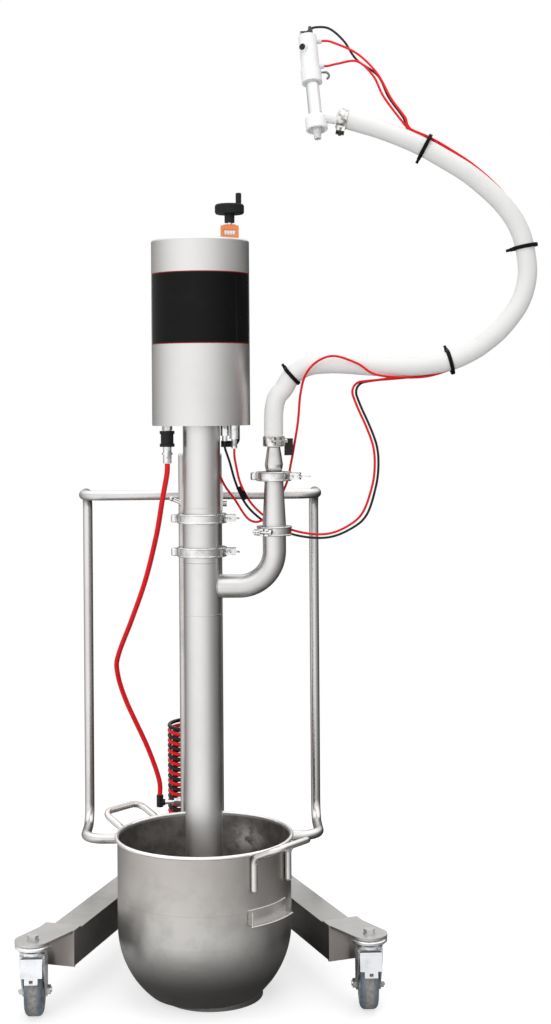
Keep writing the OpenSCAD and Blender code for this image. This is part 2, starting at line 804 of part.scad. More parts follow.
module foot_ball() color([0.9, 0.9, 0.88]) on_column()
    translate([0, 0, seat_z + sqrt(pow(foot_ball_r, 2) - pow(seat_hole, 2)) + 0.05])
        sphere(r = foot_ball_r);

// clamps: two half rings each, a hinge knuckle on one end and a bolt on the other

module clamp_section(r_flange) {
    difference() {
        translate([r_flange - 5, -8.5]) square([9, 17]);
        translate([r_flange - 6, -flange_half - 0.3]) square([6.3, 2 * flange_half + 0.6]);
    }
}

module half_ring(r_flange) {
    rotate([0, 0, 1.5]) rotate_extrude(angle = 177) clamp_section(r_flange);
    translate([r_flange + 3.2, 1.5, -6.5]) difference() {
        cube([19, 7, 13]);
        translate([10, -1, 3.2]) cube([12, 20, 6.6]);
    }
}

module knuckle(r_flange, r) {
    translate([-r_flange - 9.5, 0, -7.5]) rotate_extrude() {
        square([r - 3, 15]);
        translate([0, 3]) square([r, 9]);
        for (z = [3, 12]) translate([r - 3, z]) circle(r = 3);
    }
}

module tri_clamp(r_flange) {
    difference() {
        half_ring(r_flange);
        translate([0, 0, -5]) knuckle(r_flange, 7.1);
        translate([0, 0, 5]) knuckle(r_flange, 7.1);
    }
    difference() {
        union() {
            mirror([0, 1, 0]) half_ring(r_flange);
            knuckle(r_flange, 7);
        }
        cylinder(r = r_flange + 0.3, h = 2 * flange_half + 0.6, center = true);
    }
}

// a hinged bolt with a wing nut; one wing may be drawn out to a lever
module clamp_bolt(r_flange, lever) {
    bolt_x = r_flange + 16.5;
    rod([bolt_x, -24, 0], [bolt_x, 10, 0], 3);
    translate([bolt_x, 8.6, 0]) rotate([-90, 0, 0]) cylinder(r = 5, h = 5, $fn = 6);
    translate([bolt_x, -8.6, 0]) rotate([90, 0, 0]) cylinder(r = 6, h = 12);
    translate([bolt_x + 6, -15, -1.3]) cylinder(r = 6, h = 2.6);
    translate([bolt_x - 8, -19, -1.3]) cylinder(r = 4.5, h = 2.6);
    if (lever > 0) translate([bolt_x, -18, -1.1]) cube([lever, 5, 2.2]);
}

module each_clamp(which) {
    on_column() {
        translate([0, 0, joint_1]) {
            if (which == "ring") tri_clamp(column_flange);
            if (which == "bolt") clamp_bolt(column_flange, 0);
        }
        translate([0, 0, joint_2]) {
            if (which == "ring") tri_clamp(column_flange);
            if (which == "bolt") clamp_bolt(column_flange, 0);
        }
    }
    on_outlet() {
        translate([0, 0, joint_3]) rotate([0, 0, -115]) {
            if (which == "ring") tri_clamp(outlet_flange);
            if (which == "bolt") clamp_bolt(outlet_flange, 18);
        }
        translate([0, 0, joint_4]) rotate([0, 0, -12]) {
            if (which == "ring") tri_clamp(outlet_flange);
            if (which == "bolt") clamp_bolt(outlet_flange, 27);
        }
    }
}

module tri_clamps() color([0.8, 0.79, 0.78]) each_clamp("ring");
module hand_screws() color([0.83, 0.83, 0.84]) {
    each_clamp("bolt");
    bracket_knobs();
}

module clamp_gaskets() color([0.92, 0.92, 0.9]) {
    thick = 2 * gasket_half;
    on_column() for (z = [joint_1, joint_2]) translate([0, 0, z - gasket_half])
        ring(column_flange - 1.5, column_bore, thick);
    on_outlet() translate([0, 0, joint_3 - gasket_half])
        ring(outlet_flange - 1.5, outlet_bore, thick);
    on_outlet() translate([0, 0, joint_4 - gasket_half])
        ring(outlet_flange - 1.5, cone_d / 2 - tube_t, thick);
}

// outlet: cone with a ball valve, hose tail and hose clamp

module outlet_cone() color([0.76, 0.75, 0.74]) on_outlet() {
    low = joint_3 + gasket_half;
    high = joint_4 - gasket_half;
    difference() {
        union() {
            translate([0, 0, low]) cylinder(r = outlet_r, h = 14);
            translate([0, 0, low + 14]) cylinder(r1 = outlet_r, r2 = cone_d / 2, h = high - low - 26);
            translate([0, 0, high - 12]) cylinder(r = cone_d / 2, h = 12);
            translate([0, 0, joint_3]) ferrule(outlet_flange, 2, 1);
            translate([0, 0, joint_4]) ferrule(outlet_flange, 2, -1);
        }
        translate([0, 0, low - 1]) cylinder(r = outlet_bore, h = 9);
        translate([0, 0, low - 1]) cylinder(r = outlet_seat_hole, h = 30);
        translate([0, 0, low + 12]) cylinder(r = outlet_bore, h = 2.1);
        translate([0, 0, low + 14])
            cylinder(r1 = outlet_bore, r2 = cone_d / 2 - tube_t, h = high - low - 26);
        translate([0, 0, high - 13]) cylinder(r = cone_d / 2 - tube_t, h = 14);
    }
    translate([-cone_d / 2 - 1, 0, low + 52]) rotate([0, 90, 0])
        cylinder(r = 2.5, h = cone_d + 2);
}

module outlet_ball() color([0.9, 0.9, 0.88]) on_outlet()
    translate([0, 0, joint_3 + gasket_half + 12
               + sqrt(pow(outlet_ball_r, 2) - pow(outlet_seat_hole, 2)) + 0.05])
        sphere(r = outlet_ball_r);

module hose_barb() color([0.85, 0.85, 0.85]) on_outlet() difference() {
    foot = joint_4 + gasket_half;
    neck = foot + 8;
    bulge = neck + 13;
    union() {
        translate([0, 0, joint_4]) ferrule(outlet_flange, 2, 1);
        translate([0, 0, foot]) cylinder(r = tail_neck, h = neck - foot);
        translate([0, 0, neck - 0.01]) cylinder(r1 = tail_neck, r2 = tail_bulge, h = bulge - neck + 0.02);
        translate([0, 0, bulge]) cylinder(r1 = tail_bulge, r2 = tail_end, h = hose_start_z - bulge);
    }
    translate([0, 0, joint_4]) cylinder(r = 9.5, h = 100);
}

module band_clamp(r) {
    ring(r + 2, r, 18);
    for (side = [-1, 1]) translate([side * 6, -r - 1.2, 1]) difference() {
        translate([-3.5, -9, 0]) cube([7, 10, 16]);
        translate([-10, -4.5, 8]) rotate([0, 90, 0]) cylinder(r = 2.6, h = 20);
    }
    translate([-16, -r - 5.7, 9]) rotate([0, 90, 0]) cylinder(r = 2.5, h = 32);
    translate([10, -r - 5.7, 9]) rotate([0, 90, 0]) cylinder(r = 4.6, h = 5, $fn = 6);
}

module on_gun() { translate(gun_at) rotate([-gun_tilt, 0, 0]) rotate([0, -gun_lean, 0]) children(); }
module on_inlet() {
    on_gun() translate([0, 0, gun_inlet_z]) rotate([0, 90 + gun_inlet_drop, 0]) children();
}

module hose_clamps() color([0.8, 0.8, 0.8]) {
    on_outlet() translate([0, 0, hose_start_z + 2]) rotate([0, 0, 25]) band_clamp(hose_d / 2 + 0.4);
    on_inlet() translate([0, 0, gun_inlet_reach + 2]) rotate([0, 0, 90])
        band_clamp(hose_d / 2 + 0.4);
}

// product hose: straight out of the outlet, a bend to the right, a wide bow back to the nozzle

function gun_point(x, y, z) = let (up = sin(gun_lean) * x + cos(gun_lean) * z)
    gun_at + [cos(gun_lean) * x - sin(gun_lean) * z, cos(gun_tilt) * y + sin(gun_tilt) * up,
              cos(gun_tilt) * up - sin(gun_tilt) * y];
function inlet_point(s) = gun_point(cos(gun_inlet_drop) * s, 0,
                                    gun_inlet_z - sin(gun_inlet_drop) * s);
// tubes end this far from the fittings that hold them
tube_off = 0.5;
hose_rise = [outlet_at[0], 0, 0];
hose_bow = [[162, 0, 1141], [177, -2, 1164], [208, -6, 1182], [245, -10, 1186], [281, -12, 1185],
            [316, -14, 1182], [356, -16, 1180], [418, -20, 1181], [474, -24, 1190],
            [512, -26, 1206], [540, -28, 1224], [572, -30, 1252], [606, -32, 1299],
            [620, -34, 1351], [615, -34, 1404], [602, -34, 1443], [579, -34, 1478],
            [549, -33, 1509], [509, -32, 1542], [466, -30, 1569], [428, -28, 1591],
            [390, -26, 1609], [347, -18, 1627], [305, -11, 1641]];
hose_route = concat(
    [hose_rise + [0, column_y, hose_start_z + tube_off], hose_rise + [0, column_y, hose_start_z + 36],
     hose_rise + [1, column_y, hose_start_z + 70], hose_rise + [7, column_y, hose_start_z + 94]],
    placed(hose_bow),
    [inlet_point(gun_inlet_reach + 22), inlet_point(gun_inlet_reach + tube_off)]);
hose_line = smooth(hose_route, 2);

module product_hose() color([0.95, 0.95, 0.94])
    flat_swept(hose_line, hose_d / 2, 12);

// control tubes: from the nozzle to the hose, along its outer side, then off to the housing

tie_hold = hose_d / 2 + control_d / 2 + 1.2;
hose_from = 25;
hose_to = 11;
function beside(i, angle) = let (t = along(hose_route, i), n = unit(cross([0, 1, 0], t)))
    hose_route[i] + tie_hold * (cos(angle) * n + sin(angle) * [0, 1, 0]);
tube_step = 20;
// the tied tubes turn to the back of the hose in its bow and come out again under it
tube_turn = [[hose_to, 30], [hose_to + 1, 62], [18, 70], [20, 55], [22, 35], [24, 5], [hose_from, 0]];
function held(angle, end) = [for (i = [hose_from : -1 : end]) beside(i, angle + lookup(i, tube_turn))];

red_gun = [[262, 33, 1802], [306, 18, 1778], [342, -4, 1736], [367, -22, 1684], [392, -34, 1646]];
signal_gun = [[270, 20, 1759], [306, 14, 1762], [335, 0, 1732], [353, -14, 1690], [385, -25, 1643]];
black_gun = [[230, 54, 1836], [256, 48, 1832], [283, 38, 1806], [306, 26, 1768], [345, 10, 1734],
             [364, -4, 1690], [390, -15, 1650]];

red_pump = [[336, -40, 1164], [297, -44, 1186], [254, -46, 1200], [222, -44, 1190], [201, -32, 1166],
            [192, -14, 1130], [188, 4, 1079], [182, 18, 1037], [176, 34, 1000], [166, 48, 955],
            [140, 42, 912], [114, 36, 886], [92, 40, 893], [68, 58, 928], [46, 66, 960],
            [32, 70, 1000], [28, 70, 1040], [28, 70, housing_low - 12 - tube_off]];
signal_pump = [[312, -10, 1153], [290, -8, 1148], [290, -8, 1132], [300, -8, 1104], [316, -8, 1068],
               [329, -8, 1031], [332, -8, 995], [327, -6, 955], [310, 4, 905], [284, 18, 879],
               [245, 36, 862], [196, 50, 864], [150, 54, 880], [120, 48, 900], [96, 36, 926],
               [78, 22, 962], [70, 10, 996], [plug_x, 0, 1014], [plug_x, 0, plug_low - tube_off]];
black_pump = [[316, -2, 1152], [300, 2, 1147], [298, 2, 1132], [308, 2, 1104], [324, 2, 1068],
              [337, 2, 1031], [340, 2, 995], [335, 4, 953], [318, 14, 899], [288, 30, 871],
              [246, 48, 854], [194, 61, 856], [147, 64, 872], [114, 58, 893], [88, 46, 921],
              [70, 32, 960], [58, 12, 1002], [port_x, 0, 1030], [port_x, 0, port_low - tube_off]];

function gun_side(z, reach) = gun_point(gun_r + port_out + tube_off + reach, 0, z);
red_line = smooth(concat([gun_side(ports_z[1], 0), gun_side(ports_z[1], 8)],
    placed(red_gun), held(-tube_step, hose_to), placed(red_pump)), 2);
signal_line = smooth(concat([gun_side(ports_z[0], 0), gun_side(ports_z[0], 8)],
    placed(signal_gun), held(0, hose_to), placed(signal_pump)), 2);
black_line = smooth(concat([gun_point(0, 10, top_port_z + tube_off), gun_point(1, 10, top_port_z + 8)],
    placed(black_gun), held(tube_step, hose_to), placed(black_pump)), 2);

module red_tube() color([0.85, 0.05, 0.06]) flat_swept(red_line, control_d / 2, 8);
module signal_tube() color([0.85, 0.05, 0.06]) flat_swept(signal_line, control_d / 2, 8);
module black_tube() color([0.05, 0.05, 0.05]) flat_swept(black_line, control_d / 2, 8);

tie_spots = [5, 12, 18, 24];

module hose_tie(i) {
    t = along(hose_route, i);
    n = unit(cross([0, 1, 0], t));
    lean = acos(t[2]);
    turn = atan2(t[1], t[0]);
    across = [cos(lean) * cos(turn), cos(lean) * sin(turn), -sin(lean)];
    sideways = [-sin(turn), cos(turn), 0];
    outward = atan2(n * sideways, n * across);
    behind = lookup(i, tube_turn);
    shift = i > 10 ? 3.6 : 0;
    r = hose_d / 2 + (i > 10 ? 4.3 : 0.6);
    translate(hose_route[i] + shift * (cos(behind) * n + sin(behind) * [0, 1, 0]))
        rotate([0, lean, turn]) translate([0, 0, -2.5]) {
        ring(r + 1.5, r, 5);
        rotate([0, 0, outward + 150]) translate([r + 0.6, -3.5, -1]) cube([6, 7, 7]);
    }
}

module junction_block() {
    p = signal_line[len(signal_line) - 8];
    q = black_line[len(black_line) - 8];
    translate((p + q) / 2) rotate([0, -27, 0]) cube([12, 17, 27], center = true);
}

module hose_ties() color([0.05, 0.05, 0.05]) {
    for (i = tie_spots) hose_tie(i);
    junction_block();
}

// air supply hose and its fittings

air_elbow = [-87, mast_gap, air_inlet_z + 15];
air_route = [[coupler_x, 0, coupler_low - tube_off], [coupler_x - 1, 1, 980], [-70, 20, 931], [-83, 60, 861],
             [-107, 110, 769], [-137, 160, 685], [-166, 210, 610], [-170, 226, 572],
             [-154, 246, 510], [-112, 262, 412], [-89, 265, 345], air_elbow + [0, 0, tube_off]];

module air_hose() color([0.85, 0.05, 0.06])
    flat_swept(smooth(placed(air_route), 4), air_hose_d / 2, 10);

module slide_sleeve() color([0.05, 0.05, 0.06]) translate([coupler_x, column_y, 0]) {
    difference() {
        union() {
            translate([0, 0, housing_low - 40]) cylinder(r = 12, h = 30);
            translate([0, 0, housing_low - 40]) cylinder(r = 14, h = 6);
            translate([0, 0, housing_low - 16]) cylinder(r = 14, h = 6);
        }
        translate([0, 0, 1030]) cylinder(r = 8 + fit, h = 40);
    }
}

module air_fittings() color([0.7, 0.7, 0.7]) {
    translate([coupler_x, column_y, coupler_low]) {
        cylinder(r = 8, h = housing_low - coupler_low);
        translate([0, 0, 16]) cylinder(r = 10, h = 4);
    }
    translate([coupler_x, column_y, housing_low - 9]) cylinder(r = 10, h = 9, $fn = 6);
    translate([port_x, column_y, port_low]) {
        cylinder(r = 5, h = 10);
        translate([0, 0, 10]) cylinder(r = 8, h = housing_low - port_low - 10, $fn = 6);
    }
    translate([plug_x, column_y, plug_low]) {
        cylinder(r = 5.5, h = 22);
        translate([0, 0, 18]) cylinder(r = 9, h = housing_low - plug_low - 18);
    }
    translate([28, column_y + 70, housing_low - 12]) cylinder(r = 6, h = 12);
    // air inlet on the side of the mast
    translate([0, mast_y, air_inlet_z]) rotate([0, -90, 0]) {
        translate([0, 0, mast_w / 2]) cylinder(r = 4.5, h = -air_elbow[0] - 11 - mast_w / 2);
        translate([0, 0, mast_w / 2]) cylinder(r = 8, h = 14, $fn = 6);
    }
    // blocks that the coiled hoses hang between
    lead_x = coil_at[0] + coil_r;
    back = mast_y + mast_w / 2;
    translate([lead_x - 10, back, block_top_z]) cube([20, coil_at[1] - back, 16]);
    translate([lead_x - 10, back, block_low_z - 16])
        cube([20, coil_at[1] + 40 - back, 16]);
}

module black_fittings() color([0.06, 0.06, 0.06]) {
    translate([air_elbow[0], mast_y, air_inlet_z - 9]) cylinder(r = 7, h = air_elbow[2] - air_inlet_z + 9);
    translate([air_elbow[0], mast_y, air_inlet_z]) rotate([0, 90, 0]) cylinder(r = 6.5, h = 11);
    // exhaust pipe under the housing
    translate([column_x, column_y + 24, housing_low - 26]) {
        translate([37, 0, -10]) rotate([0, 90, 0]) cylinder(r = 6, h = 21);
        translate([58, 0, 0]) rotate([90, 0, 0]) rotate([0, 0, -90])
            rotate_extrude(angle = 90) translate([10, 0]) circle(r = 5);
        translate([68, 0, 0]) cylinder(r = 5, h = 26);
    }
    // tube clip beside the hose clamp
    on_outlet() translate([hose_d / 2 + 2.6, 2, hose_start_z - 16]) cube([16, 12, 32]);
    // push-in fittings on the nozzle
    on_gun() {
        translate([0, 10, drive_top - 9]) cylinder(r = 5, h = top_port_z - drive_top + 9);
        translate([-14, -4, drive_top + 0.05]) cube([10, 8, 10]);
        for (z = ports_z) translate([gun_r - 3, 0, z]) rotate([0, 90, 0])
            cylinder(r = 5, h = port_out + 3);
    }
}

// coiled hoses behind the mast

function turn_point(angle, z) = [coil_at[0] + coil_r * cos(angle), coil_at[1] + coil_r * sin(angle), z];
function lead_in(z, b, top) = concat(
    [[coil_at[0] + coil_r, coil_at[1] - b, top], [coil_at[0] + coil_r, coil_at[1] - b, (top + z + b) / 2]],
    [for (k = [0 : 3]) [coil_at[0] + coil_r, coil_at[1] - b * cos(22.5 * k),
                        z + b - b * sin(22.5 * k)]]);
function lead_out(z, b, low) = concat(
    [for (k = [1 : 4]) [coil_at[0] + coil_r, coil_at[1] + b * sin(22.5 * k),
                        z - b + b * cos(22.5 * k)]],
    [[coil_at[0] + coil_r, coil_at[1] + b, (low + z - b) / 2], [coil_at[0] + coil_r, coil_at[1] + b, low]]);
function coil_line(z, b_in, b_out) = concat(
    lead_in(z, b_in, block_top_z),
    [for (k = [0 : 8 * coil_turns]) turn_point(45 * k, z - coil_pitch * k / 8)],
    lead_out(z - coil_pitch * coil_turns, b_out, block_low_z));
function coil_sides(line) = [for (p = line) [p[0] - coil_at[0], p[1] - coil_at[1], 0]];
black_coil_line = coil_line(coil_top, 14, 26);
red_coil_line = coil_line(coil_top - coil_pitch / 2, 26, 14);

// the least distance between points of a line that are at least apart steps away
function least_gap(a, b, apart) = min([for (i = [0 : len(a) - 1]) for (j = [0 : len(b) - 1])
    if (abs(i - j) >= apart) norm(a[i] - b[j])]);
module coil_black() color([0.05, 0.05, 0.05])
    swept(black_coil_line, coil_sides(black_coil_line), coil_tube_d / 2, 6);
module coil_red() {
    echo(own_gap = least_gap(red_coil_line, red_coil_line, 5) - coil_tube_d,
         pair_gap = least_gap(black_coil_line, red_coil_line, 0) - coil_tube_d);
    color([0.8, 0.05, 0.06])
        swept(red_coil_line, coil_sides(red_coil_line), coil_tube_d / 2, 6);
}

// shut-off nozzle on the hose

tip_h = 25;
tip_bore = 5;
tip_flange = 10.95;
body_low = 18;
body_h = 26;
body_r = 20.5;
neck_low = body_low + body_h;
neck_h = 18;
gun_tube_low = neck_low + neck_h;
gun_tube_r = 12.5;
gun_tube_bore = 9;
needle_r = 4;
chamber_r = 13;
chamber_low = drive_low + 20;
chamber_h = 44 + needle_travel;
needle_low = tip_h + 9;

module on_button() {
    translate([0, 0, button_z]) rotate([90, 0, -37]) children();
}

module gun_cylinder() color([0.94, 0.94, 0.95]) on_gun() {
    difference() {
        union() {
            translate([0, 0, drive_low + 2]) cylinder(r = gun_r, h = drive_top - drive_low - 2);
            translate([0, 0, collar_low]) cylinder(r = gun_r + 2, h = drive_low - collar_low);
            translate([0, 0, drive_low - 0.01]) cylinder(r1 = gun_r + 2, r2 = gun_r, h = 2.02);
            on_button() cylinder(r = 9, h = gun_r + 4);
        }
        translate([0, 0, collar_low - 1]) cylinder(r = gun_tube_r + 0.05, h = 15);
        translate([0, 0, collar_low - 4]) cylinder(r = needle_r + fit, h = chamber_low - collar_low + 10);
        translate([0, 0, chamber_low]) cylinder(r = chamber_r, h = chamber_h);
        on_button() translate([0, 0, gun_r - 3]) cylinder(r = 6 + fit, h = 20);
        translate([0, 10, drive_top - 9.5]) cylinder(r = 5.05, h = 20);
        for (z = ports_z) translate([gun_r - 3.5, 0, z]) rotate([0, 90, 0])
            cylinder(r = 5.05, h = port_out + 3);
    }
}

module trigger_button() color([0.05, 0.05, 0.06]) on_gun() on_button()
    translate([0, 0, gun_r + 0.5]) cylinder(r = 6, h = 6);

module gun_hook() translate([gun_r + 9, 0, collar_low + 14]) {
    rotate([90, 0, 0]) rotate([0, 0, -75]) rotate_extrude(angle = 190)
        translate([7, 0]) circle(r = 2.2);
    rod([-6.95, 0, 7], [0, 0, 7], 1.8);
}

module gun_tube() color([0.8, 0.8, 0.8]) on_gun() {
    translate([0, 0, gun_tube_low])
        ring(gun_tube_r, gun_tube_bore, collar_low + 13.5 - gun_tube_low);
    gun_hook();
}

module gun_valve_body() color([0.93, 0.93, 0.93]) {
    difference() {
        union() {
            on_gun() translate([0, 0, body_low]) cylinder(r = body_r, h = body_h);
            on_gun() translate([0, 0, neck_low]) cylinder(r1 = body_r, r2 = 14, h = neck_h);
            on_inlet() cylinder(r = 12, h = gun_inlet_reach);
        }
        on_gun() translate([0, 0, tip_h + 5]) cylinder(r = gun_tube_bore, h = 40);
        on_gun() translate([0, 0, body_low - 8]) cylinder(r = tip_flange + 0.05, h = tip_h + 13.01 - body_low);
        on_gun() translate([0, 0, body_low - 1]) cylinder(r = body_r - 4, h = 6);
        on_inlet() cylinder(r = 8, h = gun_inlet_reach + 1);
    }
}

module gun_tip() color([0.9, 0.93, 0.95]) on_gun() difference() {
    union() {
        cylinder(r1 = tip_bore + 1.2, r2 = tip_bore + 4.2, h = tip_h);
        translate([0, 0, tip_h - 1]) cylinder(r = tip_flange, h = 6);
    }
    translate([0, 0, -1]) cylinder(r = tip_bore, h = tip_h + 2);
    translate([0, 0, tip_h]) cylinder(r = tip_bore - 2, h = 6);
}

needle_h = 150;

module gun_needle() color([0.8, 0.8, 0.82]) on_gun() {
    translate([0, 0, needle_low]) cylinder(r = needle_r, h = needle_h);
    translate([0, 0, needle_low - 3.8]) cylinder(r1 = needle_r - 2, r2 = needle_r, h = 3.81);
    translate([0, 0, chamber_low + 10]) cylinder(r = chamber_r - fit, h = 12);
}

legs();
cross_beam();
caster_plates();
swivel_bolts();
mast();
mast_cap();
handle_frame();
pump_arm();
front_left_fork();
front_right_fork();
rear_left_fork();
rear_right_fork();
front_left_wheel();
front_right_wheel();
rear_left_wheel();
rear_right_wheel();
front_left_pedal();
front_right_pedal();
bowl();
bowl_fittings();
housing_shell();
housing_lid();
housing_base();
label_panel();
position_indicator();
handwheel();
crank_knob();
spindle();
stroke_stop();
air_cylinder();
drive_rod();
product_piston();
upper_tube();
valve_barrel();
lower_tube();
foot_ball();
tri_clamps();
hand_screws();
clamp_gaskets();
outlet_cone();
outlet_ball();
hose_barb();
hose_clamps();
product_hose();
red_tube();
signal_tube();
black_tube();
hose_ties();
air_hose();
slide_sleeve();
air_fittings();
black_fittings();
coil_black();
coil_red();
gun_cylinder();
trigger_button();
gun_tube();
gun_valve_body();
gun_tip();
gun_needle();
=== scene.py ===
"""Looks of a volumetric depositor on a wheeled stand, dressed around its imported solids.

Lengths are in metres where nothing else is said.
"""

import logging
import math
from dataclasses import dataclass, field, replace
from enum import Enum

import bmesh
import bpy
from mathutils import Matrix, Vector


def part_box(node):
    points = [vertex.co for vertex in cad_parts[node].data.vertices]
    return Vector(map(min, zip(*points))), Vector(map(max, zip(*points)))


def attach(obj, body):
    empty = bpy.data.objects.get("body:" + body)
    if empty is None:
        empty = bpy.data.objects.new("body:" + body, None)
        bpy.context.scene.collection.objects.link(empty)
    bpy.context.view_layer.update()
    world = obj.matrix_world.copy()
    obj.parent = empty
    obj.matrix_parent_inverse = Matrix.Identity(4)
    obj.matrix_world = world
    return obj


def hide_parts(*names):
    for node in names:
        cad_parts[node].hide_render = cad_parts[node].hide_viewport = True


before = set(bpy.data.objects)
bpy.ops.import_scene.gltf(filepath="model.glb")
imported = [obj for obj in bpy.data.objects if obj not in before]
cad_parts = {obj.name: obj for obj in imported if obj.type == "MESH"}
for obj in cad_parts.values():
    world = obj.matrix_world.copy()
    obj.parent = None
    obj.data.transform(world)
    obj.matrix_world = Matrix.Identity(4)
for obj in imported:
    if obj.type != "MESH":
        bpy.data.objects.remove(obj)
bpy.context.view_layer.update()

Point = tuple[float, float, float]
Colour = tuple[float, float, float]
Span = tuple[float, float]
Route = tuple[Point, ...]
Profile = tuple[Span, ...]
# Soft patches: how many to the metre, and the noise where they start and where they are full.
Patches = tuple[float, float, float]
Socket = bpy.types.NodeSocket
Material = bpy.types.Material
Shape = bmesh.types.BMesh
Feed = float | tuple[float, ...] | Socket

LOG = logging.getLogger("depositor")
MM = 0.001
FULL_TURN = 2 * math.pi
SHARP_EDGE = math.radians(35.0)
LEVEL = (1.0, 1.0, 0.0)
# Numbers of a Mix node's colour sockets: its inputs A and B and its result.
MIX_COLOURS = (6, 7, 2)
UP = Vector((0.0, 0.0, 1.0))
BACK = Vector((0.0, 1.0, 0.0))


def node_middle(name: str) -> Vector:
    """Gives the middle of a CAD node's box, in metres."""
    low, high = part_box(name)
    return (Vector(low) + Vector(high)) / 2


COLUMN = node_middle("housing_shell")


def from_column(point: Point) -> Vector:
    """Places a point that is given in millimetres, with Y counted from the column axis."""
    return Vector((point[0] * MM, point[1] * MM + COLUMN.y, point[2] * MM))


def in_metres(lengths: tuple[float, ...]) -> tuple[float, ...]:
    """Turns millimetres into metres."""
    return tuple(length * MM for length in lengths)


def about_z(angle: float) -> Matrix:
    """Gives a turn about the upright axis."""
    return Matrix.Rotation(angle, 4, "Z")


def put(name: str, data: bpy.types.ID) -> bpy.types.Object:
    """Makes an object and puts it into the scene.

    Args:
        name: Its name.
        data: Its mesh, curve, lamp or camera.

    Returns:
        The new object.
    """
    made = bpy.data.objects.new(name, data)
    bpy.context.scene.collection.objects.link(made)
    return made


def shade(colour: Colour, factor: float) -> Colour:
    """Makes a colour lighter, by a factor above 1, or darker."""
    return tuple(min(channel * factor, 1.0) for channel in colour)


class Grain(Enum):
    """The way that brush marks run: how much finer the pattern is along X, Y and Z."""

    UPRIGHT = (260.0, 260.0, 4.0)
    LEVEL = (5.0, 5.0, 420.0)
    ALONG_Y = (260.0, 6.0, 260.0)
    DRAWN = (40.0, 40.0, 3.0)
    CAST = (90.0, 90.0, 90.0)


class Body(Enum):
    """The bodies that the scene's own pieces move with."""

    STAND = "stand"
    HANDWHEEL = "handwheel"
    BOWL = "bowl"


class Slot(Enum):
    """The record's material slots of the scene's own pieces."""

    WHITE_HOSE = "white_hose"
    RED_TUBE = "red_tube"
    BLACK_TUBE = "black_tube"
    BLACK_PLASTIC = "black_plastic"
    WHITE_PLASTIC = "white_plastic"
    SATIN_STEEL = "satin_steel"
    BOWL_STEEL = "bowl_steel"


class Stiffness(Enum):
    """How far a hose gives way."""

    MEDIUM = "medium"
    STIFF = "stiff"


class Rest(Enum):
    """How a hose lies."""

    HANGING = "hanging"
    COILED = "coiled"


class ShaderDesk:
    """A shader tree under construction, with short calls for the nodes that it needs."""

    def __init__(self, tree: bpy.types.NodeTree) -> None:
        """Keeps the tree."""
        self.tree = tree

    def link(self, source: Socket, target: Socket) -> None:
        """Joins two sockets."""
        self.tree.links.new(source, target)

    def feed(self, value: Feed, target: Socket) -> None:
        """Joins a socket to an input, or sets a plain value on it.

        Args:
            value: A socket, a number, a vector, or a colour, which gets full alpha.
            target: The input.
        """
        if isinstance(value, Socket):
            self.link(value, target)
        else:
            target.default_value = (*value, 1.0) if target.type == "RGBA" else value

    def add(self, kind: str, output: str | int, inputs: dict[str | int, Feed],
            **settings: object) -> Socket:
        """Adds a node.

        Args:
            kind: The node's type, without the prefix that all have.
            output: Name or number of the output to give back.
            inputs: A value or a socket for each input that is used.
            settings: The node's own settings.

        Returns:
            The output's socket.
        """
        node = self.tree.nodes.new("ShaderNode" + kind)
        for label, value in settings.items():
            setattr(node, label, value)
        for label, value in inputs.items():
            self.feed(value, node.inputs[label])
        return node.outputs[output]

    def ramp(self, source: Socket, low: float, high: float, start: float, end: float) -> Socket:
        """Maps a value from the range low to high to the range start to end, held at the ends."""
        return self.add("MapRange", "Result", {"Value": source, "From Min": low, "From Max": high,
                                               "To Min": start, "To Max": end})

    def math(self, operation: str, first: Socket, second: Feed) -> Socket:
        """Joins two values by a sum, product or the like."""
        return self.add("Math", "Value", {0: first, 1: second}, operation=operation)

    def blend(self, mask: Socket, first: Feed, second: Feed) -> Socket:
        """Blends two values by a mask, which is 0 for the first and 1 for the second."""
        return self.add("Mix", "Result", {"Factor": mask, "A": first, "B": second})

    def mix(self, mask: Socket, first: Feed, second: Feed) -> Socket:
        """Mixes two colours by a mask, which is 0 for the first and 1 for the second."""
        a, b, result = MIX_COLOURS
        return self.add("Mix", result, {"Factor": mask, a: first, b: second}, data_type="RGBA")

    def vector(self, operation: str, first: Socket, second: Feed) -> Socket:
        """Changes a vector by another one."""
        return self.add("VectorMath", "Vector", {0: first, 1: second}, operation=operation)

    def length(self, first: Socket) -> Socket:
        """Gives the length of a vector."""
        return self.add("VectorMath", "Value", {0: first}, operation="LENGTH")

    def dot(self, first: Socket, second: Point) -> Socket:
        """Gives the part of a vector that lies along another."""
        return self.add("VectorMath", "Value", {0: first, 1: second}, operation="DOT_PRODUCT")

    def ray(self, kind: str) -> Socket:
        """Gives 1 for rays of a kind, such as Glossy, and 0 for others."""
        return self.add("LightPath", f"Is {kind} Ray", {})

    def seen(self) -> Socket:
        """Gives 1 for rays from the camera, also through clear pieces, and 0 for others."""
        return self.math("MAXIMUM", self.ray("Camera"), self.ray("Transmission"))


class GroupDesk(ShaderDesk):
    """A shader node group under construction, with named sockets."""

    def __init__(self, name: str, inputs: dict[str, str], output: str) -> None:
        """Starts a group.

        Args:
            name: The group's name.
            inputs: Socket types by input name.
            output: Name of the one value that it puts out.
        """
        super().__init__(bpy.data.node_groups.new(name, "ShaderNodeTree"))
        for label, kind in inputs.items():
            self.tree.interface.new_socket(label, in_out="INPUT", socket_type=kind)
        self.tree.interface.new_socket(output, in_out="OUTPUT", socket_type="NodeSocketFloat")
        self.given = self.tree.nodes.new("NodeGroupInput").outputs
        self.result = self.tree.nodes.new("NodeGroupOutput").inputs[output]


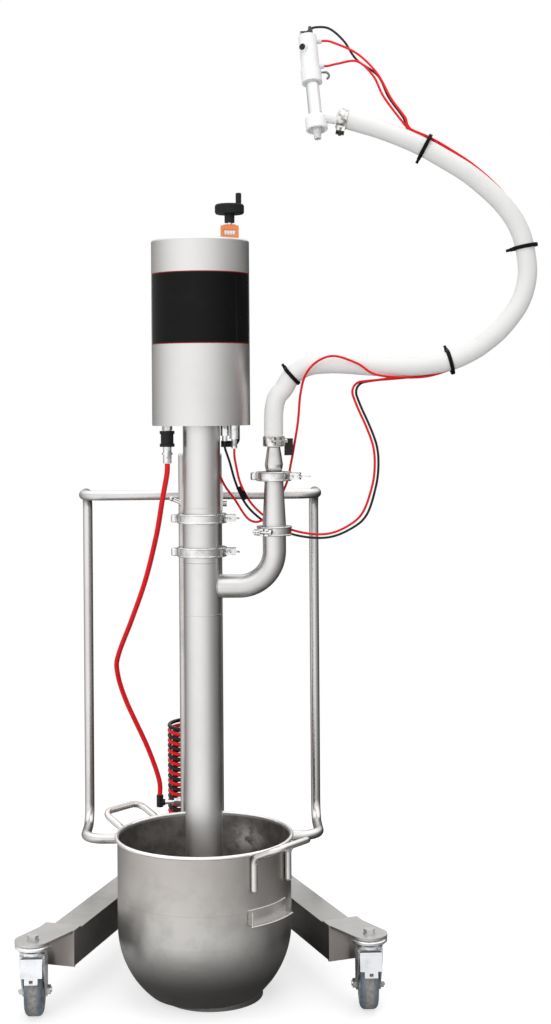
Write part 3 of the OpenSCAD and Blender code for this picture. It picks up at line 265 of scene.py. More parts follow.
def brush_marks() -> bpy.types.NodeTree:
    """Makes the group for brush marks that run one way.

    Returns:
        The group, with Vector and Stretch in and Marks out.
    """
    desk = GroupDesk("brush_marks", {"Vector": "NodeSocketVector", "Stretch": "NodeSocketVector"},
                     "Marks")
    stretched = desk.vector("MULTIPLY", desk.given["Vector"], desk.given["Stretch"])
    look = {"Scale": 1.0, "Detail": 3.0, "Roughness": 0.6}
    desk.link(desk.add("TexNoise", "Fac", {"Vector": stretched, **look}), desk.result)
    return desk.tree


def soft_patches() -> bpy.types.NodeTree:
    """Makes the group for soft patches, such as handling marks, dust and stains.

    Returns:
        The group, with Vector, Scale, From and To in and Mask out.
    """
    desk = GroupDesk("patches", {"Vector": "NodeSocketVector", "Scale": "NodeSocketFloat",
                                 "From": "NodeSocketFloat", "To": "NodeSocketFloat"}, "Mask")
    noise = desk.add("TexNoise", "Fac", {"Vector": desk.given["Vector"], "Scale": desk.given["Scale"],
                                         "Detail": 5.0, "Roughness": 0.62})
    limits = {"From Min": desk.given["From"], "From Max": desk.given["To"]}
    spread = desk.add("MapRange", "Result", {"Value": noise, **limits}, interpolation_type="SMOOTHSTEP")
    desk.link(spread, desk.result)
    return desk.tree


BRUSH_MARKS = brush_marks()
PATCHES = soft_patches()


class MaterialDesk(ShaderDesk):
    """One material under construction, with short calls for what the finishes need."""

    def __init__(self, name: str) -> None:
        """Starts a material with a Principled shader.

        Args:
            name: The material's name.
        """
        self.material = bpy.data.materials.new(name)
        self.material.use_nodes = True
        super().__init__(self.material.node_tree)
        self.shader = self.tree.nodes["Principled BSDF"]
        self.where = self.add("TexCoord", "Object", {})

    def set(self, **values: Feed) -> None:
        """Feeds the shader's inputs, which are named with underscores for spaces."""
        for label, value in values.items():
            self.feed(value, self.shader.inputs[label.replace("_", " ")])

    def marks(self, grain: Grain) -> Socket:
        """Adds brush marks, which are about 0.5 in the mean."""
        return self.add("Group", "Marks", {"Vector": self.where, "Stretch": grain.value},
                        node_tree=BRUSH_MARKS)

    def patches(self, scale: float, low: float, high: float) -> Socket:
        """Adds a mask of soft patches, so many to the metre, from a low to a high value of noise."""
        return self.add("Group", "Mask", {"Vector": self.where, "Scale": scale, "From": low, "To": high},
                        node_tree=PATCHES)

    def place(self, axis: str) -> Socket:
        """Gives the surface point's X, Y or Z, in metres."""
        return self.add("SeparateXYZ", axis, {"Vector": self.where})

    def distance(self, centre: Vector, weights: Point) -> Socket:
        """Gives the distance from a point or an axis.

        Args:
            centre: The point, or a point on the axis.
            weights: 1 for each axis that counts and 0 for the others.

        Returns:
            The distance's socket, in metres.
        """
        back = tuple(-value * weight for value, weight in zip(centre, weights))
        inputs = {"Vector": self.where, "Scale": weights, "Location": back}
        return self.length(self.add("Mapping", "Vector", inputs))

    def bump(self, height: Socket, strength: float, distance: float) -> None:
        """Raises the surface, on top of what raises it already.

        Args:
            height: The height's socket, 0 to 1.
            strength: How strongly it shows.
            distance: Height of a full step, in metres.
        """
        inputs = {"Strength": strength, "Distance": distance, "Height": height}
        earlier = {"Normal": link.from_socket for link in self.shader.inputs["Normal"].links}
        self.set(Normal=self.add("Bump", "Normal", inputs | earlier))

    def base(self) -> Socket:
        """Gives what feeds the base colour so far."""
        return self.shader.inputs["Base Color"].links[0].from_socket


def dress(material: Material, *names: str) -> None:
    """Gives CAD nodes a material.

    Args:
        material: The material.
        names: The nodes.
    """
    for name in names:
        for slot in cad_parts[name].material_slots:
            slot.material = material
        LOG.info("%s dressed with %s", name, material.name)


class Finish:
    """What all finishes can do."""

    def desk(self) -> MaterialDesk:
        """Builds the finish and leaves its material open for more."""
        raise NotImplementedError

    def build(self) -> Material:
        """Builds the finish and gives its material."""
        return self.desk().material

    def on(self, *names: str) -> Material:
        """Builds the finish, dresses CAD nodes with it and gives its material.

        Args:
            names: The nodes.

        Returns:
            The material.
        """
        material = self.build()
        dress(material, *names)
        return material


@dataclass(frozen=True)
class SteelFinish(Finish):
    """Bare steel with brush marks, and patches where hands and cloths have been."""

    name: str
    colour: Colour
    gloss: float
    grain: Grain
    patch_scale: float = 9.0
    patch_depth: float = 0.86
    mark_depth: float = 0.012
    mark_height: float = 0.0004
    mark_noise: Span = (0.3, 0.7)
    patch_noise: Span = (0.42, 0.68)
    streak: Span = (0.97, 1.03)
    gloss_spread: Span = (0.02, 0.03)
    patch_dull: float = 0.08

    def desk(self) -> MaterialDesk:
        """Builds the finish and leaves it open for more.

        Returns:
            The material under construction.
        """
        desk = MaterialDesk(self.name)
        marks = desk.marks(self.grain)
        patches = desk.patches(self.patch_scale, *self.patch_noise)
        dark, light = (shade(self.colour, factor) for factor in self.streak)
        handled = shade(self.colour, self.patch_depth)
        less, more = self.gloss_spread
        fine = desk.ramp(marks, *self.mark_noise, self.gloss - less, self.gloss + more)
        desk.set(Metallic=1.0, Base_Color=desk.mix(patches, desk.mix(marks, dark, light), handled),
                 Roughness=desk.math("ADD", fine, desk.ramp(patches, 0.0, 1.0, 0.0, self.patch_dull)))
        desk.bump(marks, self.mark_depth, self.mark_height)
        return desk


@dataclass(frozen=True)
class PlasticFinish(Finish):
    """Moulded plastic or rubber with a fine skin and slight stains."""

    name: str
    colour: Colour
    gloss: float
    skin_scale: float = 700.0
    skin_depth: float = 0.06
    stain: float = 0.9
    coat: float = 0.0
    shine: float = 0.3
    skin_height: float = 0.0003
    skin_noise: Span = (0.25, 0.75)
    stain_scale: float = 14.0
    stain_noise: Span = (0.45, 0.75)
    gloss_spread: Span = (0.03, 0.06)
    coat_gloss: float = 0.12

    def desk(self) -> MaterialDesk:
        """Builds the finish and leaves it open for more.

        Returns:
            The material under construction.
        """
        desk = MaterialDesk(self.name)
        stains = desk.patches(self.stain_scale, *self.stain_noise)
        skin = desk.patches(self.skin_scale, *self.skin_noise)
        less, more = self.gloss_spread
        desk.set(Specular_IOR_Level=self.shine, Coat_Weight=self.coat, Coat_Roughness=self.coat_gloss,
                 Base_Color=desk.mix(stains, self.colour, shade(self.colour, self.stain)),
                 Roughness=desk.ramp(skin, 0.0, 1.0, self.gloss - less, self.gloss + more))
        desk.bump(skin, self.skin_depth, self.skin_height)
        return desk


@dataclass(frozen=True)
class LabelFinish(Finish):
    """A glossy black panel with a thin red line along its upper and lower edge."""

    name: str
    low: float
    high: float
    line_from: float = 0.0002
    line_to: float = 0.0017
    black: Colour = (0.002, 0.002, 0.0025)
    dusty: Colour = (0.005, 0.005, 0.006)
    red: Colour = (0.30, 0.012, 0.012)
    dust: Patches = (22.0, 0.45, 0.8)
    gloss: Span = (0.1, 0.18)
    shine: float = 0.11

    def desk(self) -> MaterialDesk:
        """Builds the finish and leaves it open for more.

        Returns:
            The material under construction.
        """
        desk = MaterialDesk(self.name)
        from_middle = desk.math("SUBTRACT", desk.place("Z"), (self.low + self.high) / 2)
        height = desk.math("ABSOLUTE", from_middle, 0.0)
        from_edge = desk.math("SUBTRACT", height, (self.high - self.low) / 2)
        line = desk.math("MULTIPLY", desk.math("LESS_THAN", from_edge, -self.line_from),
                         desk.math("GREATER_THAN", from_edge, -self.line_to))
        dust = desk.patches(*self.dust)
        desk.set(Base_Color=desk.mix(line, desk.mix(dust, self.black, self.dusty), self.red),
                 Roughness=desk.ramp(dust, 0.0, 1.0, *self.gloss), Specular_IOR_Level=self.shine)
        return desk


@dataclass(frozen=True)
class WheelFinish(Finish):
    """A blue-grey tyre, worn along the middle of its tread, on a paler hub."""

    name: str
    axle: Vector
    hub_radius: float = 0.0331
    tread_radius: float = 0.0425
    tread_edge: float = 0.0025
    worn_half: float = 0.0045
    worn_edge: float = 0.0105
    rubber: Colour = (0.17, 0.205, 0.25)
    stained: Colour = (0.11, 0.13, 0.16)
    worn: Colour = (0.37, 0.36, 0.35)
    dirt: Colour = (0.24, 0.23, 0.22)
    hub: Colour = (0.42, 0.43, 0.44)
    stains: Patches = (60.0, 0.4, 0.7)
    wear: Patches = (150.0, 0.35, 0.65)
    skin: Patches = (420.0, 0.3, 0.7)
    skin_depth: float = 0.25
    skin_height: float = 0.0006
    gloss: Span = (0.5, 0.72)

    def desk(self) -> MaterialDesk:
        """Builds the finish and leaves it open for more.

        Returns:
            The material under construction.
        """
        desk = MaterialDesk(self.name)
        radius = desk.distance(self.axle, (0.0, 1.0, 1.0))
        across = desk.distance(self.axle, (1.0, 0.0, 0.0))
        stains = desk.patches(*self.stains)
        tyre = desk.mix(stains, self.rubber, self.stained)
        wear = desk.mix(desk.patches(*self.wear), self.worn, self.dirt)
        tread = desk.ramp(radius, self.tread_radius, self.tread_radius + self.tread_edge, 0.0, 1.0)
        middle = desk.ramp(across, self.worn_half, self.worn_edge, 1.0, 0.0)
        rolled = desk.mix(desk.math("MULTIPLY", tread, middle), tyre, wear)
        desk.set(Base_Color=desk.mix(desk.math("LESS_THAN", radius, self.hub_radius), rolled, self.hub),
                 Roughness=desk.ramp(stains, 0.0, 1.0, *self.gloss))
        desk.bump(desk.patches(*self.skin), self.skin_depth, self.skin_height)
        return desk


@dataclass(frozen=True)
class ClearFinish(Finish):
    """Clear moulded plastic, slightly clouded."""

    name: str
    colour: Colour
    clouds: Patches = (120.0, 0.35, 0.7)
    clouded: float = 0.94
    gloss: Span = (0.12, 0.3)
    transmission: float = 0.25
    ior: float = 1.4

    def desk(self) -> MaterialDesk:
        """Builds the finish and leaves it open for more.

        Returns:
            The material under construction.
        """
        desk = MaterialDesk(self.name)
        cloud = desk.patches(*self.clouds)
        desk.set(Base_Color=desk.mix(cloud, self.colour, shade(self.colour, self.clouded)),
                 Roughness=desk.ramp(cloud, 0.0, 1.0, *self.gloss), Transmission_Weight=self.transmission,
                 IOR=self.ior)
        return desk


class Workshop:
    """Makes finished pieces from bmesh shapes."""

    rod_resolution = 6
    dome_segments = (20, 12)
    ring_corners = 10
    ring_steps = 72

    @staticmethod
    def piece(name: str, shape: Shape, material: Material, body: Body, slot: Slot,
              node: str = "") -> bpy.types.Object:
        """Turns a shape into a smooth-shaded piece that rides on a body.

        Args:
            name: The piece's name.
            shape: The shape, which is used up.
            material: Its material.
            body: The body that it moves with.
            slot: The record's material slot; not used.
            node: The CAD node that it stands for, if any.

        Returns:
            The new piece.
        """
        bmesh.ops.recalc_face_normals(shape, faces=shape.faces)
        for face in shape.faces:
            face.smooth = True
        for edge in shape.edges:
            edge.smooth = len(edge.link_faces) < 2 or edge.calc_face_angle() < SHARP_EDGE
        mesh = bpy.data.meshes.new(name)
        shape.to_mesh(mesh)
        shape.free()
        mesh.materials.append(material)
        piece = put(name, mesh)
        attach(piece, body.value)
        if node:
            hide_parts(node)
        LOG.info("%s made with %d faces", name, len(mesh.polygons))
        return piece

    @staticmethod
    def box(shape: Shape, size: Point, place: Matrix, edge: float) -> None:
        """Adds a box with rounded edges to a shape.

        Args:
            shape: The shape.
            size: Its lengths along X, Y and Z, in metres.
            place: Its place and turn.
            edge: Width of the rounded edges, in metres.
        """
        made = bmesh.ops.create_cube(shape, size=1.0, matrix=Matrix.Diagonal((*size, 1.0)))["verts"]
        edges = list(dict.fromkeys(line for vert in made for line in vert.link_edges))
        made = bmesh.ops.bevel(shape, geom=edges, offset=edge, affect="EDGES", segments=3, profile=0.5,
                               material=-1)["verts"]
        bmesh.ops.transform(shape, matrix=place, verts=made)

    @staticmethod
    def pin(shape: Shape, place: Matrix, radius: float, length: float, sides: int) -> None:
        """Adds a round pin with flat ends to a shape, along the Z of its place."""
        bmesh.ops.create_cone(shape, cap_ends=True, segments=sides, radius1=radius, radius2=radius,
                              depth=length, matrix=place)

    @staticmethod
    def rounded(points: list[Vector], radius: float, steps: int = 8) -> list[Vector]:
        """Puts an arc in the place of each corner of a line.

        Args:
            points: The line's ends and corners.
            radius: Radius of the arcs.
            steps: Stretches in each arc.

        Returns:
            The points of the rounded line.
        """
        line = [points[0]]
        for before, corner, after in zip(points, points[1:], points[2:]):
            back = (before - corner).normalized()
            on = (after - corner).normalized()
            half = back.angle(on) / 2
            centre = corner + (back + on).normalized() * (radius / math.sin(half))
            reach = radius / math.tan(half)
            start, end = ((corner + way * reach - centre).normalized() for way in (back, on))
            line += [centre + start.slerp(end, step / steps) * radius for step in range(steps + 1)]
        return line + [points[-1]]

    @staticmethod
    def curve(name: str, line: list[Vector], radius: float, resolution: int) -> bpy.types.Curve:
        """Makes a curve with a round section.

        Args:
            name: The curve's name.
            line: The points of its axis.
            radius: Radius of its section.
            resolution: Resolution of its section.

        Returns:
            The new curve.
        """
        data = bpy.data.curves.new(name, "CURVE")
        data.dimensions = "3D"
        data.bevel_depth = radius
        data.bevel_resolution = resolution
        spline = data.splines.new("POLY")
        spline.points.add(len(line) - 1)
        for target, point in zip(spline.points, line):
            target.co = (*point, 1.0)
        return data

    @classmethod
    def bent_rod(cls, shape: Shape, line: list[Vector], radius: float) -> None:
        """Adds a round rod with domed ends to a shape.

        Args:
            shape: The shape.
            line: The points of the rod's axis.
            radius: Its radius.
        """
        data = cls.curve("rod", line, radius, cls.rod_resolution)
        holder = bpy.data.objects.new("rod", data)
        shape.from_mesh(holder.to_mesh())
        holder.to_mesh_clear()
        bpy.data.objects.remove(holder)
        bpy.data.curves.remove(data)
        around, up = cls.dome_segments
        for end in (line[0], line[-1]):
            bmesh.ops.create_uvsphere(shape, u_segments=around, v_segments=up, radius=radius,
                                      matrix=Matrix.Translation(end))

    @staticmethod
    def spin(shape: Shape, verts: list[bmesh.types.BMVert], centre: Vector, axis: Vector,
             steps: int) -> None:
        """Sweeps a closed outline of a shape in a full turn.

        Args:
            shape: The shape.
            verts: The outline's corners, which are joined by edges.
            centre: A point on the axis.
            axis: The axis.
            steps: Stretches in the turn.
        """
        edges = dict.fromkeys(edge for vert in verts for edge in vert.link_edges)
        bmesh.ops.spin(shape, geom=[*verts, *edges], cent=centre, axis=axis, angle=FULL_TURN, steps=steps,
                       use_merge=True)

    @classmethod
    def spun(cls, shape: Shape, outline: list[Vector], centre: Vector, axis: Vector, steps: int) -> None:
        """Adds a turned wall with a given outline to a shape.

        Args:
            shape: The shape.
            outline: The corners of the wall's section.
            centre: A point on the axis.
            axis: The axis.
            steps: Stretches in the turn.
        """
        verts = [shape.verts.new(point) for point in outline]
        for pair in zip(verts, verts[1:] + verts[:1]):
            shape.edges.new(pair)
        cls.spin(shape, verts, centre, axis, steps)

    @classmethod
    def ring(cls, shape: Shape, centre: Vector, radius: float, thickness: float) -> None:
        """Adds a round ring with an upright axis to a shape.

        Args:
            shape: The shape.
            centre: The ring's centre.
            radius: Radius of its middle line.
            thickness: Radius of its section.
        """
        aside = Matrix.Translation(centre + Vector((radius, 0.0, 0.0)))
        made = bmesh.ops.create_circle(shape, segments=cls.ring_corners, radius=thickness,
                                       matrix=aside @ Matrix.Rotation(math.pi / 2, 4, "X"))
        cls.spin(shape, made["verts"], centre, UP, cls.ring_steps)


@dataclass(frozen=True)
class Lamp:
    """A soft lamp that points at the middle of the object and doesn't show in reflections."""

    name: str
    spot: Point
    size: Span
    power: float
    aim: Point = (0.1, 0.0, 0.95)

    def build(self) -> None:
        """Hangs the lamp."""
        data = bpy.data.lights.new(self.name, "AREA")
        data.shape = "RECTANGLE"
        data.size, data.size_y = self.size
        data.energy = self.power
        lamp = put(self.name, data)
        lamp.location = self.spot
        lamp.rotation_euler = (Vector(self.aim) - Vector(self.spot)).to_track_quat("-Z", "Y").to_euler()
        lamp.visible_glossy = False


@dataclass(frozen=True)
class Shine:
    """Brightness of the surroundings, graded from the back over the sides to a bright bearing."""

    bearing: float
    back: float
    side: float
    front: float

    def build(self, desk: ShaderDesk, direction: Socket) -> Socket:
        """Adds the grading to a shader.

        Args:
            desk: The shader under construction.
            direction: The direction's socket.

        Returns:
            The brightness's socket.
        """
        turn = math.radians(self.bearing)
        level = desk.vector("NORMALIZE", desk.vector("MULTIPLY", direction, LEVEL), (0.0, 0.0, 0.0))
        facing = desk.dot(level, (math.sin(turn), -math.cos(turn), 0.0))
        return desk.math("ADD", desk.ramp(facing, -1.0, 0.0, self.back, self.side),
                         desk.ramp(facing, 0.0, 1.0, 0.0, self.front - self.side))


@dataclass
class Studio:
    """Camera, lamps, floor and background."""

    image_height: float = 1024.0
    focal: float = 1620.0
    horizon: float = 402.0
    camera_spot: Point = (27.9, -3060.1, 1115.0)
    yaw: float = math.radians(2.2)
    roll: float = 0.0072
    sensor: float = 36.0
    far_clip: float = 100.0
    lamps: tuple[Lamp, ...] = (Lamp("key", (-1.5, -4.0, 2.1), (2.6, 2.8), 66.0),
                               Lamp("top", (0.2, -0.6, 4.2), (2.6, 2.6), 38.0),
                               Lamp("rim", (1.8, 3.4, 2.4), (1.6, 2.2), 22.0))
    world_shine: Shine = Shine(-26.0, 0.06, 0.66, 1.6)
    world_light: float = 0.62
    low_sky: Span = (0.17, 0.36)
    low_sky_light: float = 1.05
    high_sky: Span = (0.35, 0.75)
    high_sky_light: float = 0.8
    floor_half: float = 40.0
    # The floor's brightness in reflections, graded by bearing; its dark back is partly a painted shadow
    # of the stand.
    floor_shine: Shine = Shine(-36.0, 0.03, 0.42, 1.45)
    floor_grey: Colour = (0.55, 0.55, 0.55)
    floor_roughness: float = 0.9
    floor_specular: float = 0.1
    floor_glow: float = 0.62
    floor_fade: Span = (0.7, 2.4)
    # Painted shadow in the floor's reflections: the distances from the bowl over which it fades out, and
    # its darkest brightness.
    bowl_shadow: Span = (0.16, 0.66)
    bowl_shadow_light: float = 0.06

    def camera(self) -> None:
        """Sets the camera where the photograph was taken from."""
        data = bpy.data.cameras.new("camera")
        data.sensor_fit = "AUTO"
        data.sensor_width = self.sensor
        data.lens = self.sensor * self.focal / self.image_height
        data.shift_y = (self.horizon - self.image_height / 2) / self.image_height
        data.clip_end = self.far_clip
        camera = put("camera", data)
        turn = about_z(-self.yaw) @ Matrix.Rotation(math.pi / 2, 4, "X") @ about_z(-self.roll)
        camera.matrix_world = Matrix.Translation(from_column(self.camera_spot)) @ turn
        bpy.context.scene.camera = camera

    def background(self) -> None:
        """Makes the world white to the camera, graded in reflections, and grey as a light."""
        world = bpy.data.worlds.new("studio")
        world.use_nodes = True
        bpy.context.scene.world = world
        desk = ShaderDesk(world.node_tree)
        light = desk.tree.nodes["Background"]
        direction = desk.add("TexCoord", "Generated", {})
        height = desk.dot(direction, tuple(UP))
        level = self.world_shine.build(desk, direction)
        low_sky = desk.blend(desk.ramp(height, *self.low_sky, 0.0, 1.0), level, self.low_sky_light)
        sky = desk.math("ADD", low_sky, desk.ramp(height, *self.high_sky, 0.0, self.high_sky_light))
        plain = desk.ramp(desk.seen(), 0.0, 1.0, self.world_light, 1.0)
        desk.feed((1.0, 1.0, 1.0), light.inputs["Color"])
        desk.link(desk.blend(desk.ray("Glossy"), plain, sky), light.inputs["Strength"])

    def floor_paint(self) -> Material:
        """Makes the floor's material, which takes shadows near the object and is white further off.

        Returns:
            The material.
        """
        desk = MaterialDesk("floor_paint")
        desk.set(Base_Color=self.floor_grey, Roughness=self.floor_roughness,
                 Specular_IOR_Level=self.floor_specular)
        paint = desk.shader.outputs["BSDF"]
        glow = desk.add("Emission", "Emission", {"Strength": self.floor_glow})
        lit = desk.add("AddShader", "Shader", {0: paint, 1: glow})
        far = desk.ramp(desk.distance(Vector(), LEVEL), *self.floor_fade, 0.0, 1.0)
        white = desk.add("Emission", "Emission", {})
        faded = desk.add("MixShader", "Shader", {"Fac": far, 1: lit, 2: white})
        watched = desk.add("MixShader", "Shader", {"Fac": desk.seen(), 1: paint, 2: faded})
        # In reflections the floor glows, graded by bearing, and is darker near the bowl as a painted
        # shadow.
        from_bowl = desk.distance(COLUMN, LEVEL)
        unshaded = desk.ramp(from_bowl, *self.bowl_shadow, self.bowl_shadow_light, 1.0)
        shine = desk.math("MULTIPLY", self.floor_shine.build(desk, desk.where), unshaded)
        mirrored = desk.add("Emission", "Emission", {"Strength": shine})
        shown = desk.add("MixShader", "Shader", {"Fac": desk.ray("Glossy"), 1: watched, 2: mirrored})
        desk.link(shown, desk.tree.nodes["Material Output"].inputs["Surface"])
        return desk.material

    def floor(self) -> None:
        """Lays the pale floor."""
        sheet = bmesh.new()
        bmesh.ops.create_grid(sheet, x_segments=1, y_segments=1, size=self.floor_half)
        mesh = bpy.data.meshes.new("floor")
        sheet.to_mesh(mesh)
        sheet.free()
        mesh.materials.append(self.floor_paint())
        put("floor", mesh)

    def build(self) -> None:
        """Sets up the whole studio."""
        bpy.context.scene.view_settings.view_transform = "Standard"
        self.camera()
        for lamp in self.lamps:
            lamp.build()
        self.background()
        self.floor()


@dataclass
class Cord:
    """A smooth round hose or tube along a route in metres, with its diameter in millimetres."""

    name: str
    route: list[Vector]
    diameter: float
    steps: int = 8
    thick: float = 20.0
    thick_resolution: int = 8
    thin_resolution: int = 5
    ease_rounds: int = 600
    line: list[Vector] = field(init=False)

    def __post_init__(self) -> None:
        """Draws the smooth line through the route's points."""
        self.line = []
        final = len(self.route) - 1
        for index in range(final):
            before = self.route[max(index - 1, 0)]
            start = self.route[index]
            end = self.route[index + 1]
            after = self.route[min(index + 2, final)]
            for step in range(self.steps):
                t = step / self.steps
                self.line.append(0.5 * (2 * start + (end - before) * t
                                        + (2 * before - 5 * start + 4 * end - after) * t * t
                                        + (3 * start - before - 3 * end + after) * t * t * t))
        self.line.append(self.route[final])

    def ease(self, least: float) -> None:
        """Rounds off the bends that are tighter than the tube allows.

        Args:
            least: The smallest radius of a bend, in metres.
        """
        start = list(self.line)
        for _ in range(self.ease_rounds):
            line = self.line
            bends = [self.bend(*line[index - 1:index + 2]) for index in range(1, len(line) - 1)]
            tight = [index + 1 for index, radius in enumerate(bends) if radius < least]
            if not tight:
                break
            self.line = list(line)
            for index in tight:
                self.line[index] = line[index] / 2 + (line[index - 1] + line[index + 1]) / 4
        moved = max((after - before).length for before, after in zip(start, self.line))
        LOG.info("%s eased by up to %.1f mm", self.name, moved / MM)

    @staticmethod
    def bend(first: Vector, middle: Vector, last: Vector) -> float:
        """Gives the radius of the circle through three points.

        Args:
            first: The first point.
            middle: The point between.
            last: The last point.

        Returns:
            The radius, very large for points in a line.
        """
        doubled_area = (middle - first).cross(last - first).length
        sides = (middle - first).length * (last - middle).length * (last - first).length
        return sides / max(2.0 * doubled_area, 1e-12)

    def length(self) -> float:
        """Gives the length of the line in metres."""
        return sum((second - first).length for first, second in zip(self.line, self.line[1:]))

    def build(self, material: Material, node: str, slot: Slot) -> bpy.types.Object:
        """Makes the hose and lets it stand for its CAD node.

        Args:
            material: Its material.
            node: The CAD node.
            slot: The record's material slot; not used.

        Returns:
            The new piece.
        """
        resolution = self.thick_resolution if self.diameter > self.thick else self.thin_resolution
        data = Workshop.curve(self.name, self.line, self.diameter * MM / 2, resolution)
        data.use_fill_caps = True
        data.splines[0].use_smooth = True
        data.materials.append(material)
        piece = put(self.name, data)
        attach(piece, Body.STAND.value)
        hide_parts(node)
        LOG.info("%s is %.3f m long", self.name, self.length())
        return piece


@dataclass
class NozzleFrame:
    """The leaning frame of the nozzle, in millimetres, whose origin is the end of its tip."""

    lean: float = math.radians(4.0)
    tilt: float = math.radians(16.0)
    tip: Point = (228.0, -20.0, 1609.0)
    inlet_height: float = 50.0
    inlet_drop: float = math.radians(14.0)

    def turn(self) -> Matrix:
        """Gives the turn of the frame."""
        return Matrix.Rotation(-self.tilt, 3, "X") @ Matrix.Rotation(-self.lean, 3, "Y")

    def point(self, x: float, y: float, z: float) -> Vector:
        """Places a point that lies right of the nozzle's axis, behind it and up from its tip."""
        return from_column(self.tip) + self.turn() @ Vector((x, y, z)) * MM

    def axis(self) -> Vector:
        """Gives the direction of the nozzle's axis, up from the tip."""
        return self.turn() @ UP

    def inlet_axis(self) -> Vector:
        """Gives the direction of the side inlet, away from the nozzle."""
        return self.turn() @ Vector((math.cos(self.inlet_drop), 0.0, -math.sin(self.inlet_drop)))

    def inlet(self, reach: float) -> Vector:
        """Places a point on the axis of the side inlet, so far from the nozzle's axis."""
        drop = math.sin(self.inlet_drop) * reach
        return self.point(math.cos(self.inlet_drop) * reach, 0.0, self.inlet_height - drop)


@dataclass(frozen=True)
class ControlTube:
    """A control tube: from the nozzle in a bow to the hose, tied along it, and on to the housing."""

    name: str
    node: str
    slot: Slot
    side: float
    port: Route
    gun: Route
    pump: Route


RED_CONTROL = ControlTube(
    "control_red", "red_tube", Slot.RED_TUBE, -1.0, ((26.0, 0.0, 203.0), (34.0, 0.0, 203.0)),
    ((262, 33, 1802), (306, 18, 1778), (342, -4, 1736), (367, -22, 1684), (392, -34, 1646)),
    ((336, -40, 1164), (297, -44, 1186), (254, -46, 1200), (222, -44, 1190), (201, -32, 1166),
     (192, -14, 1130), (188, 4, 1079), (182, 18, 1037), (176, 34, 1000), (166, 48, 955), (140, 42, 912),
     (114, 36, 886), (92, 40, 893), (68, 58, 928), (46, 66, 960), (32, 70, 1000), (28, 70, 1040),
     (28, 70, 1059.5)))
SIGNAL_CONTROL = ControlTube(
    "control_signal", "signal_tube", Slot.RED_TUBE, 0.0, ((26.0, 0.0, 150.0), (34.0, 0.0, 150.0)),
    ((270, 20, 1759), (306, 14, 1762), (335, 0, 1732), (353, -14, 1690), (385, -25, 1643)),
    ((312, -10, 1153), (290, -8, 1148), (290, -8, 1132), (300, -8, 1104), (316, -8, 1068),
     (329, -8, 1031), (332, -8, 995), (327, -6, 955), (310, 4, 905), (284, 18, 879), (245, 36, 862),
     (196, 50, 864), (150, 54, 880), (120, 48, 900), (96, 36, 926), (78, 22, 962), (70, 10, 996),
     (67, 0, 1014), (67, 0, 1027.5)))
BLACK_CONTROL = ControlTube(
    "control_black", "black_tube", Slot.BLACK_TUBE, 1.0, ((0.0, 10.0, 226.5), (1.0, 10.0, 234.0)),
    ((230, 54, 1836), (256, 48, 1832), (283, 38, 1806), (306, 26, 1768), (345, 10, 1734),
     (364, -4, 1690), (390, -15, 1650)),
    ((316, -2, 1152), (300, 2, 1147), (298, 2, 1132),
     (308, 2, 1104), (324, 2, 1068), (337, 2, 1031), (340, 2, 995), (335, 4, 953), (318, 14, 899),
     (288, 30, 871), (246, 48, 854), (194, 61, 856), (147, 64, 872), (114, 58, 893), (88, 46, 921),
     (70, 32, 960), (58, 12, 1002), (49, 0, 1030), (49, 0, 1041.5)))


